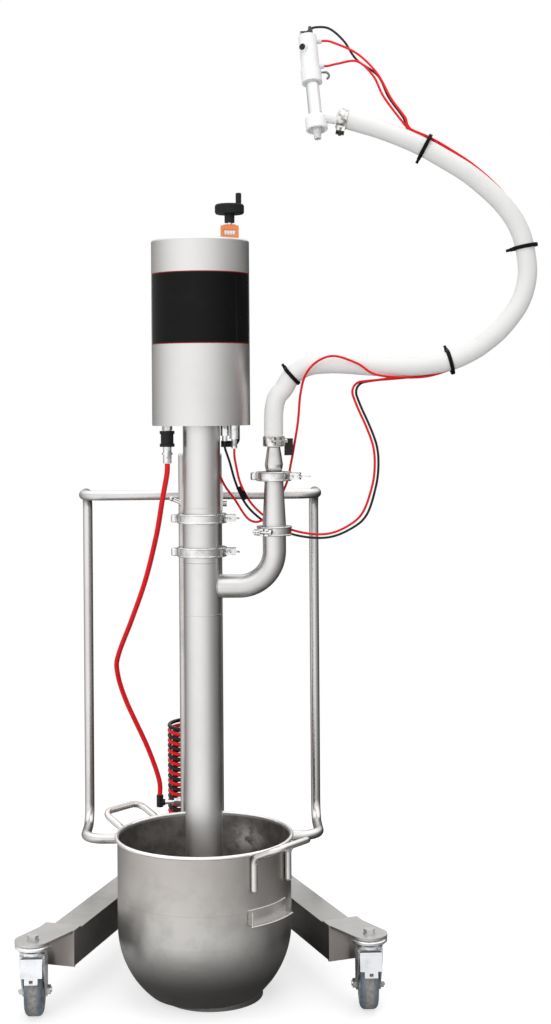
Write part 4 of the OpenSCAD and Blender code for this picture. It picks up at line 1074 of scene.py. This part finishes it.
@dataclass
class Hoses:
    """The product hose, the control tubes, the air hose and the two coiled hoses, in millimetres."""

    nozzle: NozzleFrame
    hose_diameter: float = 36.0
    hose_start: Route = ((141.5, 0, 1030.5), (141.5, 0, 1066), (142.5, 0, 1100), (148.5, 0, 1124))
    hose_bow: Route = (
        (162, 0, 1141), (177, -2, 1164), (208, -6, 1182), (245, -10, 1186), (281, -12, 1185),
        (316, -14, 1182), (356, -16, 1180), (418, -20, 1181), (474, -24, 1190), (512, -26, 1206),
        (540, -28, 1224), (572, -30, 1252), (606, -32, 1299), (620, -34, 1351), (615, -34, 1404),
        (602, -34, 1443), (579, -34, 1478), (549, -33, 1509), (509, -32, 1542), (466, -30, 1569),
        (428, -28, 1591), (390, -26, 1609), (347, -18, 1627), (305, -11, 1641))
    hose_end: Span = (62.0, 40.5)
    control_diameter: float = 4.5
    control_gap: float = 1.2
    controls: tuple[ControlTube, ...] = (RED_CONTROL, SIGNAL_CONTROL, BLACK_CONTROL)
    least_bend: float = 18.0
    held_from: int = 25
    held_to: int = 11
    side_step: float = math.radians(20.0)
    tube_turn: Profile = ((11, 30.0), (12, 62.0), (18, 70.0), (20, 55.0), (22, 35.0), (24, 5.0),
                          (25, 0.0))
    tie_spots: tuple[int, ...] = (5, 12, 18, 24)
    tie_head: float = math.radians(150.0)
    tie_shift: float = 3.6
    tie_room: float = 4.3
    tie_room_alone: float = 0.6
    tie_wall: Profile = ((0.0, -3.6), (1.4, -3.6), (2.3, -2.6), (2.3, 2.6), (1.4, 3.6), (0.0, 3.6))
    tie_steps: int = 40
    tail_size: Point = (1.8, 5.5, 14.0)
    tail_edge: float = 0.5
    tail_lean: float = 0.35
    tail_root: float = 4.0
    tail_half: float = 7.0
    air_diameter: float = 10.0
    air_route: Route = (
        (-59.5, 0, 1000.5), (-60.5, 1, 980), (-70, 20, 931), (-83, 60, 861), (-107, 110, 769),
        (-137, 160, 685), (-166, 210, 610), (-170, 226, 572), (-154, 246, 510), (-112, 262, 412),
        (-89, 265, 345), (-87, 265, 312.5))
    coil_diameter: float = 8.0
    coil_radius: float = 26.0
    coil_pitch: float = 21.0
    coil_turns: int = 10
    coil_steps: int = 16
    coil_top: float = 450.0
    coil_bends: Span = (14.0, 26.0)
    coil_bend_steps: int = 6
    hose_route: list[Vector] = field(init=False)

    def __post_init__(self) -> None:
        """Works out the product hose's route, which ends at the nozzle's inlet."""
        end = [self.nozzle.inlet(reach) for reach in self.hose_end]
        self.hose_route = self.placed(self.hose_start + self.hose_bow) + end

    @staticmethod
    def placed(route: Route) -> list[Vector]:
        """Places a route's points in the frame."""
        return [from_column(point) for point in route]

    def directions(self, index: int) -> tuple[Vector, Vector]:
        """Gives the hose's direction at a point of its route, and the way to the outside of its bow."""
        along = (self.hose_route[index + 1] - self.hose_route[index - 1]).normalized()
        return along, BACK.cross(along).normalized()

    def beside(self, index: int, angle: float) -> Vector:
        """Places a point of a control tube that is tied to the hose.

        Args:
            index: The point of the hose's route.
            angle: Its turn round the hose from the outermost line.

        Returns:
            The point in metres.
        """
        outward = self.directions(index)[1]
        hold = (self.hose_diameter / 2 + self.control_diameter / 2 + self.control_gap) * MM
        return self.hose_route[index] + hold * (math.cos(angle) * outward + math.sin(angle) * BACK)

    def turned(self, index: int) -> float:
        """Gives how far the tied tubes turn to the back of the hose.

        Args:
            index: The point of the hose's route.

        Returns:
            The angle.
        """
        for (low, first), (high, second) in zip(self.tube_turn, self.tube_turn[1:]):
            if low <= index <= high:
                return math.radians(first + (second - first) * (index - low) / (high - low))
        return 0.0

    def tie_bands(self, material: Material) -> bpy.types.Object:
        """Makes the straps of the cable ties, with the cut tails that stick out of their heads.

        Args:
            material: The ties' material.

        Returns:
            The new piece.
        """
        bands = bmesh.new()
        for index in self.tie_spots:
            along, outward = self.directions(index)
            lift = math.cos(self.tie_head) * outward + math.sin(self.tie_head) * along.cross(outward)
            held = index >= self.held_to
            turn = self.turned(index)
            shift = (math.cos(turn) * outward + math.sin(turn) * BACK) * (self.tie_shift if held else 0.0)
            centre = self.hose_route[index] + shift * MM
            radius = (self.hose_diameter / 2 + (self.tie_room if held else self.tie_room_alone)) * MM
            outline = [centre + lift * (radius + out * MM) + along * side * MM
                       for out, side in self.tie_wall]
            Workshop.spun(bands, outline, centre, along, self.tie_steps)
            tail = (lift + self.tail_lean * lift.cross(along)).normalized()
            spot = centre + lift * (radius + self.tail_root * MM) + tail * self.tail_half * MM
            turn_in = Matrix((along.cross(tail), along, tail)).transposed().to_4x4()
            Workshop.box(bands, in_metres(self.tail_size), Matrix.Translation(spot) @ turn_in,
                         self.tail_edge * MM)
        return Workshop.piece("tie_bands", bands, material, Body.STAND, Slot.BLACK_PLASTIC)

    def control_route(self, tube: ControlTube) -> list[Vector]:
        """Joins the stretches of a control tube.

        Args:
            tube: The tube.

        Returns:
            The whole route.
        """
        port = [self.nozzle.point(*point) for point in tube.port]
        tied = [self.beside(index, tube.side * self.side_step + self.turned(index))
                for index in range(self.held_from, self.held_to - 1, -1)]
        return port + self.placed(tube.gun) + tied + self.placed(tube.pump)

    def coil_route(self, top: float, bend_in: float, bend_out: float) -> list[Vector]:
        """Works out a coiled hose between its two manifold blocks.

        Args:
            top: Height of its uppermost turn.
            bend_in: Radius of the bend into the coil.
            bend_out: Radius of the bend out of it.

        Returns:
            The route with its turns.
        """
        lower, upper = (corner[2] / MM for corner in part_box("coil_black"))
        axis = node_middle("coil_black") / MM
        x = axis.x + self.coil_radius
        points = [(x, axis.y - bend_in, upper), (x, axis.y - bend_in, (upper + top + bend_in) / 2)]
        steps = self.coil_bend_steps
        quarter = [math.radians(90.0 * step / steps) for step in range(steps + 1)]
        for angle in quarter[:-1]:
            rise = bend_in - bend_in * math.sin(angle)
            points.append((x, axis.y - bend_in * math.cos(angle), top + rise))
        for step in range(self.coil_steps * self.coil_turns + 1):
            turns = step / self.coil_steps
            angle = FULL_TURN * turns
            points.append((axis.x + self.coil_radius * math.cos(angle),
                           axis.y + self.coil_radius * math.sin(angle), top - self.coil_pitch * turns))
        low = top - self.coil_pitch * self.coil_turns
        for angle in quarter[1:]:
            drop = bend_out - bend_out * math.cos(angle)
            points.append((x, axis.y + bend_out * math.sin(angle), low - drop))
        points += [(x, axis.y + bend_out, (lower + low - bend_out) / 2), (x, axis.y + bend_out, lower)]
        return [Vector(point) * MM for point in points]

    @staticmethod
    def lay(cord: Cord, node: str, slot: Slot, material: Material,
            stiffness: Stiffness = Stiffness.MEDIUM, rest: Rest = Rest.HANGING,
            on_it: tuple[bpy.types.Object, ...] = ()) -> None:
        """Args:
            cord: The hose.
            node: The CAD node that it stands for.
            slot: The record's material slot.
            material: Its material.
            stiffness: How far it gives way; not used.
            rest: How it lies; not used.
            on_it: The pieces that are held on it; not used.
        """
        piece = cord.build(material, node, slot)
        round(cord.length(), 3)

    def build(self) -> None:
        """Makes all hoses."""
        white = PlasticFinish("white_hose_wall", (0.88, 0.88, 0.87), 0.48, skin_scale=160.0,
                              skin_depth=0.006, stain=0.97).build()
        red = PlasticFinish("red_tube_wall", (0.86, 0.008, 0.014), 0.3, skin_scale=500.0, skin_depth=0.03,
                            stain=0.88, coat=0.06, shine=0.2).build()
        black = PlasticFinish("black_tube_wall", (0.010, 0.010, 0.011), 0.3, skin_scale=500.0,
                              skin_depth=0.03, stain=1.3, coat=0.05, shine=0.2).build()
        tie = PlasticFinish("tie_black", (0.004, 0.004, 0.0045), 0.5, skin_scale=500.0, skin_depth=0.05,
                            stain=1.3, shine=0.08).on("hose_ties")
        ties = (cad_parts["hose_ties"], self.tie_bands(tie))
        hose = Cord("hose_white", self.hose_route, self.hose_diameter)
        self.lay(hose, "product_hose", Slot.WHITE_HOSE, white, Stiffness.STIFF, on_it=ties)
        for tube in self.controls:
            cord = Cord(tube.name, self.control_route(tube), self.control_diameter)
            cord.ease(self.least_bend * MM)
            self.lay(cord, tube.node, tube.slot, red if tube.slot is Slot.RED_TUBE else black)
        air = Cord("air_supply", self.placed(self.air_route), self.air_diameter)
        self.lay(air, "air_hose", Slot.RED_TUBE, red)
        tight, wide = self.coil_bends
        dark = Cord("coil_dark", self.coil_route(self.coil_top, tight, wide), self.coil_diameter, 2)
        self.lay(dark, "coil_black", Slot.BLACK_TUBE, black, rest=Rest.COILED)
        bright_top = self.coil_top - self.coil_pitch / 2
        bright = Cord("coil_bright", self.coil_route(bright_top, wide, tight), self.coil_diameter, 2)
        self.lay(bright, "coil_red", Slot.RED_TUBE, red, rest=Rest.COILED)


@dataclass
class Stand:
    """Legs, beam, mast, handle, pump arm and casters."""

    steel: Colour = (0.50, 0.485, 0.47)
    folded: Colour = (0.50, 0.455, 0.425)
    plate_edge: Span = (0.0062, 0.0056)
    corners: tuple[str, ...] = ("front_left", "front_right", "rear_left", "rear_right")

    def dress(self) -> None:
        """Dresses the stand and its casters."""
        SteelFinish("leg_steel", self.steel, 0.34, Grain.ALONG_Y).on("legs", "cross_beam", "pump_arm")
        SteelFinish("mast_steel", self.steel, 0.33, Grain.UPRIGHT).on("mast")
        SteelFinish("handle_steel", (0.60, 0.59, 0.58), 0.24, Grain.DRAWN, patch_scale=7.0,
                    patch_depth=0.94, mark_depth=0.0).on("handle_frame")
        self.dress_plates()
        PlasticFinish("cap_white", (0.82, 0.82, 0.80), 0.45).on("mast_cap")
        SteelFinish("bright_zinc", (0.72, 0.725, 0.735), 0.25, Grain.CAST, patch_scale=40.0,
                    patch_depth=0.82).on(*(corner + "_fork" for corner in self.corners))
        for corner in self.corners:
            wheel = corner + "_wheel"
            WheelFinish(wheel + "_rubber", node_middle(wheel)).on(wheel)
        SteelFinish("pedal_zinc", (0.72, 0.73, 0.755), 0.3, Grain.CAST, patch_scale=40.0).on(
            "front_left_pedal", "front_right_pedal")
        SteelFinish("bolt_steel", (0.66, 0.66, 0.665), 0.24, Grain.CAST, patch_scale=60.0).on(
            "swivel_bolts")

    def dress_plates(self) -> None:
        """Dresses the caster plates, whose folded end caps are browner than their tops."""
        desk = SteelFinish("plate_steel", (0.55, 0.535, 0.52), 0.34, Grain.ALONG_Y).desk()
        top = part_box("caster_plates")[1][2]
        below = desk.ramp(desk.place("Z"), top - self.plate_edge[0], top - self.plate_edge[1], 1.0, 0.0)
        desk.set(Base_Color=desk.mix(below, desk.base(), self.folded))
        dress(desk.material, "caster_plates")


@dataclass
class Pump:
    """Housing, stroke setting, product column, outlet and fittings, in millimetres."""

    satin: Colour = (0.62, 0.61, 0.60)
    column_x: float = 5.0
    column_radius: float = 35.0
    branch_radius: float = 22.0
    branch_z: float = 768.0
    joints: Route = ((5.0, 897.0, 42.0), (5.0, 834.0, 42.0), (141.5, 872.0, 28.5), (141.5, 975.0, 28.5))
    clamp_edge_z: float = 7.2
    clamp_edge_out: float = 3.4
    clamp_edge: float = 1.7
    weld_heights: tuple[float, ...] = (716.0, 814.0, 877.0, 917.0)
    weld: float = 0.6
    saddle_weld: float = 1.5
    saddle_steps: int = 48
    rib_count: int = 56
    rib_z: float = 1479.5
    rib_in: float = 0.2
    rib_radius: float = 0.9
    rib_height: float = 12.5
    rib_sides: int = 8
    digits: int = 4
    digit_step: float = 5.2
    digit_radius: float = 5.2
    digit_width: float = 4.8
    digit_sides: int = 32
    digit_place: Span = (4.5, 13.5)
    nozzle_z: Span = (1400.0, 1500.0)
    pale: Colour = (0.72, 0.73, 0.76)

    def dress(self) -> None:
        """Dresses the pump."""
        SteelFinish("housing_steel", self.satin, 0.36, Grain.LEVEL, patch_scale=5.0, patch_depth=0.97,
                    mark_depth=0.008).on("housing_shell", "housing_lid", "housing_base")
        SteelFinish("column_steel", self.satin, 0.33, Grain.LEVEL, patch_scale=7.0, patch_depth=0.95,
                    mark_depth=0.008).on("upper_tube", "valve_barrel", "lower_tube", "outlet_cone")
        clamp = SteelFinish("clamp_steel", (0.66, 0.655, 0.65), 0.14, Grain.CAST, patch_scale=45.0,
                            patch_depth=0.7, mark_depth=0.003).on("tri_clamps", "hand_screws")
        self.beads(clamp)
        SteelFinish("polished_steel", (0.60, 0.59, 0.58), 0.08, Grain.LEVEL, patch_scale=30.0,
                    patch_depth=0.9, mark_depth=0.003).on(
            "hose_barb", "foot_ball", "outlet_ball", "drive_rod", "spindle", "gun_needle")
        SteelFinish("fitting_steel", (0.70, 0.70, 0.70), 0.2, Grain.CAST, patch_scale=75.0,
                    patch_depth=0.45, mark_depth=0.003).on("air_fittings", "stroke_stop", "air_cylinder")
        SteelFinish("band_steel", (0.66, 0.64, 0.62), 0.12, Grain.CAST, patch_scale=85.0,
                    patch_depth=0.22, mark_depth=0.004).on("hose_clamps")
        LabelFinish("label_gloss", *(corner[2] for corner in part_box("label_panel"))).on("label_panel")
        PlasticFinish("indicator_orange", (0.86, 0.27, 0.09), 0.4, skin_scale=500.0, skin_depth=0.05,
                      coat=0.1).on("position_indicator")
        black = PlasticFinish("moulded_black", (0.011, 0.011, 0.012), 0.42, skin_scale=600.0,
                              skin_depth=0.08, stain=1.5, shine=0.22)
        black.on("handwheel", "crank_knob", "slide_sleeve", "trigger_button")
        self.dress_fittings(replace(black, name="fitting_black"))
        self.counter()
        self.wheel_ribs(replace(black, name="rib_black").build())
        PlasticFinish("seal_white", (0.80, 0.80, 0.78), 0.5).on("clamp_gaskets", "product_piston")

    def beads(self, steel: Material) -> None:
        """Makes the rolled edges of the clamps and the weld beads of the column.

        Args:
            steel: The clamps' steel.
        """
        edges = bmesh.new()
        welds = bmesh.new()
        for x, z, flange in self.joints:
            for rise in (-self.clamp_edge_z, self.clamp_edge_z):
                Workshop.ring(edges, from_column((x, 0.0, z + rise)), (flange + self.clamp_edge_out) * MM,
                              self.clamp_edge * MM)
        for z in self.weld_heights:
            Workshop.ring(welds, from_column((self.column_x, 0.0, z)), self.column_radius * MM,
                          self.weld * MM)
        saddle = []
        for step in range(self.saddle_steps + 1):
            turn = FULL_TURN * step / self.saddle_steps
            aside = self.branch_radius * math.cos(turn)
            out = self.column_x + math.sqrt(self.column_radius ** 2 - aside ** 2)
            saddle.append(from_column((out, aside, self.branch_z + self.branch_radius * math.sin(turn))))
        Workshop.bent_rod(welds, saddle, self.saddle_weld * MM)
        Workshop.piece("clamp_edges", edges, steel, Body.STAND, Slot.SATIN_STEEL)
        weld = SteelFinish("weld_steel", (0.56, 0.545, 0.53), 0.3, Grain.CAST, patch_scale=120.0,
                           patch_depth=0.8, mark_depth=0.01).build()
        Workshop.piece("weld_beads", welds, weld, Body.STAND, Slot.SATIN_STEEL)

    def wheel_ribs(self, black: Material) -> None:
        """Makes the grip ribs round the handwheel's rim.

        Args:
            black: The handwheel's plastic.
        """
        low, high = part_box("handwheel")
        middle = node_middle("handwheel")
        radius = (high[0] - low[0]) / 2 - self.rib_in * MM
        ribs = bmesh.new()
        for index in range(self.rib_count):
            turn = FULL_TURN * index / self.rib_count
            x, y = middle.x + radius * math.cos(turn), middle.y + radius * math.sin(turn)
            place = Matrix.Translation((x, y, self.rib_z * MM))
            Workshop.pin(ribs, place, self.rib_radius * MM, self.rib_height * MM, self.rib_sides)
        Workshop.piece("handwheel_ribs", ribs, black, Body.HANDWHEEL, Slot.BLACK_PLASTIC)

    def counter(self) -> None:
        """Puts the white number wheels into the window of the position indicator."""
        low = Vector(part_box("position_indicator")[0])
        back, rise = in_metres(self.digit_place)
        step = self.digit_step * MM
        first = node_middle("position_indicator").x - step * (self.digits - 1) / 2
        wheels = bmesh.new()
        for index in range(self.digits):
            spot = Matrix.Translation((first + step * index, low.y + back, low.z + rise))
            Workshop.pin(wheels, spot @ Matrix.Rotation(math.pi / 2, 4, "Y"), self.digit_radius * MM,
                         self.digit_width * MM, self.digit_sides)
        white = PlasticFinish("counter_white", (0.86, 0.85, 0.83), 0.4).build()
        Workshop.piece("counter_wheels", wheels, white, Body.STAND, Slot.WHITE_PLASTIC)

    def dress_fittings(self, black: PlasticFinish) -> None:
        """Dresses the moulded tube fittings, which are black at the stand and pale at the nozzle.

        Args:
            black: The finish of those at the stand.
        """
        desk = black.desk()
        upper = desk.ramp(desk.place("Z"), *in_metres(self.nozzle_z), 0.0, 1.0)
        desk.set(Base_Color=desk.mix(upper, desk.base(), self.pale))
        dress(desk.material, "black_fittings")


@dataclass
class Bowl:
    """The product bowl with its handles and ledges."""

    steel: Colour = (0.53, 0.515, 0.495)
    bright: Colour = (0.80, 0.79, 0.78)
    # Painted shade: the darker tone of the bowl's upper outside, which the seam's colour is also made
    # from.
    worn: Colour = (0.40, 0.375, 0.355)
    inside: Colour = (0.46, 0.445, 0.43)
    stained: Colour = (0.30, 0.285, 0.275)
    # Partly painted light: the pale tone of the lightened front half of the inside, and also of a dried
    # splash.
    residue_and_painted_light: Colour = (0.74, 0.72, 0.69)
    residue_at: Point = (0.081, 0.139, 0.254)
    residue_reach: Span = (0.014, 0.052)
    # Painted light on the front half of the inside: full and none at these distances in front of the
    # axis.
    painted_light_front: Span = (0.09, 0.02)
    residue_metal: float = 0.45
    residue_squash: Point = (1.0, 1.0, 1.4)
    residue_edge: Patches = (55.0, 0.36, 0.6)
    mottle: Patches = (28.0, 0.38, 0.62)
    dents: Patches = (20.0, 0.3, 0.7)
    dent_depth: float = 0.06
    dent_height: float = 0.003
    # Painted shade: the heights over which the upper outside darkens, and how far it darkens.
    painted_shade_z: Span = (0.16, 0.27)
    painted_shade_most: float = 0.9
    seam_z: float = 0.195
    seam_half: Span = (0.0003, 0.0016)
    seam_depth: float = 0.16
    seam_dark: float = 0.6
    round_z: float = 0.135
    floor_z: Span = (0.011, 0.012)
    inner_wall: Span = (0.0068, 0.0060)
    rolled_rim: Span = (0.0085, 0.0065)
    rim: float = 0.0051
    rim_drop: float = 0.0035
    turn: float = math.radians(49.0)
    rod: float = 0.0063
    handle_half: float = 0.049
    handle_out: float = 0.054
    handle_rise: float = 0.018
    handle_foot: Span = (0.064, 0.007)
    handle_bend: float = 0.02
    ledge_angle: float = math.radians(36.0)
    ledge_turn: float = math.radians(-2.5)
    ledge_drop: float = 0.128
    ledge_gap: float = 0.0001
    ledge_out: float = 0.016
    ledge_height: float = 0.027
    ledge_floor: float = 0.003
    ledge_back: float = 0.0025
    ledge_steps: int = 16
    lip_angle: float = math.radians(1.2)
    edge_rod: float = 0.0014
    edge_low: float = 0.0015
    edge_high: Span = (0.0012, 0.0272)

    def dress(self) -> None:
        """Dresses the bowl, whose inside is darker and more stained than its outside, with painted light
        on the front half of the inside and painted shade on the upper outside.
        """
        desk = SteelFinish("bowl_steel", self.steel, 0.36, Grain.LEVEL, patch_scale=16.0).desk()
        low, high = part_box("bowl")
        outer = (high[0] - low[0]) / 2
        height = desk.place("Z")
        from_middle = desk.vector("SUBTRACT", desk.where, (COLUMN.x, COLUMN.y, self.round_z))
        radius = desk.length(desk.vector("MINIMUM", from_middle, LEVEL))
        within = desk.ramp(radius, outer - self.inner_wall[0], outer - self.inner_wall[1], 1.0, 0.0)
        above = desk.ramp(height, *self.floor_z, 0.0, 1.0)
        mask = desk.math("MULTIPLY", within, above)
        # Painted shade: the upper outside is darkened in place of the darker surroundings that it
        # reflects.
        upper = desk.mix(desk.ramp(height, *self.painted_shade_z, 0.0, self.painted_shade_most), desk.base(), self.worn)
        off_seam = desk.distance(Vector((0.0, 0.0, self.seam_z)), (0.0, 0.0, 1.0))
        seam = desk.ramp(off_seam, *self.seam_half, self.seam_depth, 0.0)
        outside = desk.mix(seam, upper, shade(self.worn, self.seam_dark))
        mottled = desk.mix(desk.patches(*self.mottle), self.inside, self.stained)
        # The residue mask is partly painted light: the front half of the inside is lighter and less
        # metallic for the light that falls on it; the spot at the rear right is a dried splash.
        far, near = self.painted_light_front
        front = desk.ramp(desk.place("Y"), COLUMN.y - far, COLUMN.y - near, 1.0, 0.0)
        spot = desk.distance(COLUMN.xy.to_3d() + Vector(self.residue_at), self.residue_squash)
        dried = desk.math("MULTIPLY", desk.ramp(spot, *self.residue_reach, 1.0, 0.0),
                          desk.patches(*self.residue_edge))
        residue_and_painted_light = desk.math("MULTIPLY", mask, desk.math("MAXIMUM", front, dried))
        stains_and_painted_light = desk.mix(residue_and_painted_light, desk.mix(mask, outside, mottled), self.residue_and_painted_light)
        rolled = desk.ramp(height, high[2] - self.rolled_rim[0], high[2] - self.rolled_rim[1], 0.0, 1.0)
        desk.set(Base_Color=desk.mix(rolled, stains_and_painted_light, self.bright),
                 Metallic=desk.ramp(residue_and_painted_light, 0.0, 1.0, 1.0, self.residue_metal))
        desk.bump(desk.patches(*self.dents), self.dent_depth, self.dent_height)
        dress(desk.material, "bowl")
        self.fittings(outer - self.rim, high[2] - self.rim_drop)

    def fittings(self, radius: float, rim_z: float) -> None:
        """Makes the bent handles and the ledges, one of each at both sides of the bowl.

        Args:
            radius: Outer radius of the bowl's wall.
            rim_z: Height of the bowl's rim.
        """
        shape = bmesh.new()
        for turn in (self.turn, self.turn + math.pi):
            place = Matrix.Translation(COLUMN.xy.to_3d()) @ about_z(turn)
            line = [place @ point for point in self.handle(radius, rim_z)]
            Workshop.bent_rod(shape, line, self.rod)
            self.ledge(shape, radius + self.ledge_gap, rim_z - self.ledge_drop,
                       place @ about_z(self.ledge_turn))
        steel = SteelFinish("rod_steel", (0.62, 0.605, 0.59), 0.24, Grain.CAST, patch_scale=18.0,
                            patch_depth=0.92, mark_depth=0.002).build()
        Workshop.piece("bowl_handles", shape, steel, Body.BOWL, Slot.BOWL_STEEL, "bowl_fittings")

    def handle(self, radius: float, rim_z: float) -> list[Vector]:
        """Works out the axis of a handle's bent rod.

        Args:
            radius: Outer radius of the bowl's wall.
            rim_z: Height of the bowl's rim.

        Returns:
            The axis, for a handle in front of the bowl.
        """
        near = math.sqrt((radius + self.rod) ** 2 - self.handle_half ** 2)
        right = [Vector((self.handle_half, -near, rim_z - drop)) for drop in self.handle_foot]
        right.append(Vector((self.handle_half, -radius - self.handle_out, rim_z + self.handle_rise)))
        left = [Vector((-point.x, point.y, point.z)) for point in reversed(right)]
        return Workshop.rounded(right + left, self.handle_bend)

    def ledge(self, shape: Shape, inner: float, foot: float, place: Matrix) -> None:
        """Adds a ledge: an angled strip along the wall, with a lip at its left end and rolled edges.

        Args:
            shape: The shape to add it to.
            inner: Radius of the strip's back.
            foot: Height of its lower face.
            place: The bowl's axis and the turn of the ledge.
        """
        left = place @ about_z(-math.pi / 2 - self.ledge_angle / 2)
        out, top = self.ledge_out, self.ledge_height
        strip = ((0.0, 0.0), (out, 0.0), (out, self.ledge_floor), (self.ledge_back, self.ledge_floor),
                 (self.ledge_back, top), (0.0, top))
        lip = ((0.0, 0.0), (out, 0.0), (out, top), (0.0, top))
        for profile, sweep, steps in ((strip, self.ledge_angle, self.ledge_steps),
                                      (lip, self.lip_angle, 1)):
            corners = [left @ Vector((inner + r, 0.0, foot + z)) for r, z in profile]
            face = shape.faces.new([shape.verts.new(corner) for corner in corners])
            bmesh.ops.spin(shape, geom=[face, *face.edges, *face.verts], cent=place.translation, axis=UP,
                           angle=sweep, steps=steps)
        back, high = self.edge_high
        arc = [left @ about_z(self.ledge_angle * step / self.ledge_steps)
               for step in range(self.ledge_steps + 1)]
        for r, z in ((back, high), (out, self.edge_low)):
            edge = [turn @ Vector((inner + r, 0.0, foot + z)) for turn in arc]
            Workshop.bent_rod(shape, edge, self.edge_rod)
        lip_turn = left @ about_z(self.lip_angle / 2)
        lip_edge = [lip_turn @ Vector((inner + r, 0.0, foot + z))
                    for r, z in ((out, self.edge_low), (out, high), (back, high))]
        Workshop.bent_rod(shape, lip_edge, self.edge_rod)


@dataclass
class Nozzle:
    """The shut-off nozzle at the end of the hose, in millimetres of its frame."""

    place: NozzleFrame
    drive_shifts: Route = ((0.0, 133.0, 12.0),)
    tube_shifts: Route = ((0.0, 80.0, -14.0), (100.0, 200.0, 12.0))
    wall: Profile = (
        (9.0, 30.0), (9.0, 50.0), (13.0, 50.0), (14.2, 49.2), (15.6, 46.6), (19.0, 44.2), (20.2, 42.6),
        (20.5, 40.5), (20.5, 19.4), (19.4, 18.0), (16.5, 18.0), (16.5, 23.0), (11.0, 23.0),
        (11.0, 30.0))
    inlet_wall: Profile = ((8.0, 11.0), (12.0, 11.0), (12.0, 39.2), (11.2, 40.0), (8.0, 40.0))
    wall_steps: int = 48
    same_point: float = 0.001
    hook_off: Span = (13.5, 14.5)
    hook_grey: Colour = (0.17, 0.17, 0.18)
    valve_boxes: tuple[Route, ...] = (((9.0, 8.0, 13.0), (6.0, -4.0, 220.4)),
                                      ((6.0, 6.0, 7.0), (6.0, -4.0, 229.5)))
    valve_edge: float = 1.0
    valve_pin: Route = ((-12.0, -6.0, 222.0), (4.0, -5.0, 222.0))
    valve_pin_radius: float = 1.6

    def dress(self) -> None:
        """Makes the nozzle's body and dresses the rest of it."""
        white = PlasticFinish("nozzle_white", (0.95, 0.95, 0.96), 0.4, skin_scale=500.0, skin_depth=0.03,
                              stain=0.97).build()
        steel = self.tube_steel()
        ClearFinish("nozzle_clear", (0.95, 0.965, 0.98)).on("gun_tip")
        self.shifted("nozzle_drive", "gun_cylinder", white, Slot.WHITE_PLASTIC, self.drive_shifts)
        self.shifted("nozzle_tube", "gun_tube", steel, Slot.SATIN_STEEL, self.tube_shifts)
        self.valve_body(white)
        self.top_valve()

    def tube_steel(self) -> Material:
        """Makes the finish of the tube, whose hook is of darker wire.

        Returns:
            The material.
        """
        desk = SteelFinish("nozzle_steel", (0.74, 0.74, 0.735), 0.3, Grain.LEVEL, patch_scale=12.0,
                           patch_depth=0.96, mark_depth=0.001).desk()
        from_tip = desk.vector("SUBTRACT", desk.where, tuple(self.place.point(0.0, 0.0, 0.0)))
        off_axis = desk.length(desk.vector("CROSS_PRODUCT", from_tip, tuple(self.place.axis())))
        hook = desk.ramp(off_axis, *in_metres(self.hook_off), 0.0, 1.0)
        desk.set(Base_Color=desk.mix(hook, desk.base(), self.hook_grey))
        return desk.material

    def top_valve(self) -> None:
        """Makes the small air valve on top of the nozzle, with its pin."""
        shape = bmesh.new()
        turn = self.place.turn().to_4x4()
        for size, spot in self.valve_boxes:
            place = Matrix.Translation(self.place.point(*spot)) @ turn
            Workshop.box(shape, in_metres(size), place, self.valve_edge * MM)
        pin = [self.place.point(*end) for end in self.valve_pin]
        Workshop.bent_rod(shape, pin, self.valve_pin_radius * MM)
        dark = PlasticFinish("valve_dark", (0.045, 0.05, 0.055), 0.35, skin_scale=500.0, skin_depth=0.05,
                             stain=1.2).build()
        Workshop.piece("nozzle_air_valve", shape, dark, Body.STAND, Slot.BLACK_PLASTIC)

    def shifted(self, name: str, node: str, material: Material, slot: Slot, shifts: Route) -> None:
        """Makes a piece from a copy of a CAD node, with its ends moved along the nozzle's axis.

        Args:
            name: The piece's name.
            node: The CAD node.
            material: Its material.
            slot: The record's material slot.
            shifts: Stretches of the axis that move: from, to and by how much.
        """
        shape = bmesh.new()
        shape.from_mesh(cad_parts[node].data)
        bmesh.ops.remove_doubles(shape, verts=shape.verts, dist=self.same_point * MM)
        tip = self.place.point(0.0, 0.0, 0.0)
        axis = self.place.axis()
        heights = {vert: (vert.co - tip).dot(axis) / MM for vert in shape.verts}
        for low, high, rise in shifts:
            chosen = [vert for vert, height in heights.items() if low < height < high]
            bmesh.ops.translate(shape, vec=axis * rise * MM, verts=chosen)
        Workshop.piece(name, shape, material, Body.STAND, slot, node)

    def valve_body(self, white: Material) -> None:
        """Makes the valve body with its rounded shoulder and its side inlet.

        Args:
            white: The body's plastic.
        """
        shape = bmesh.new()
        for profile, foot, axis in ((self.wall, self.place.point(0.0, 0.0, 0.0), self.place.axis()),
                                    (self.inlet_wall, self.place.inlet(0.0), self.place.inlet_axis())):
            side = axis.orthogonal().normalized()
            outline = [foot + (side * radius + axis * height) * MM for radius, height in profile]
            Workshop.spun(shape, outline, foot, axis, self.wall_steps)
        Workshop.piece("nozzle_valve", shape, white, Body.STAND, Slot.WHITE_PLASTIC, "gun_valve_body")


def main() -> None:
    """Builds the studio, the hoses and all finishes."""
    logging.basicConfig(level=logging.INFO, format="%(message)s")
    Studio().build()
    nozzle = NozzleFrame()
    Hoses(nozzle).build()
    Stand().dress()
    Pump().dress()
    Bowl().dress()
    Nozzle(nozzle).dress()


if __name__ == "__main__":
    main()
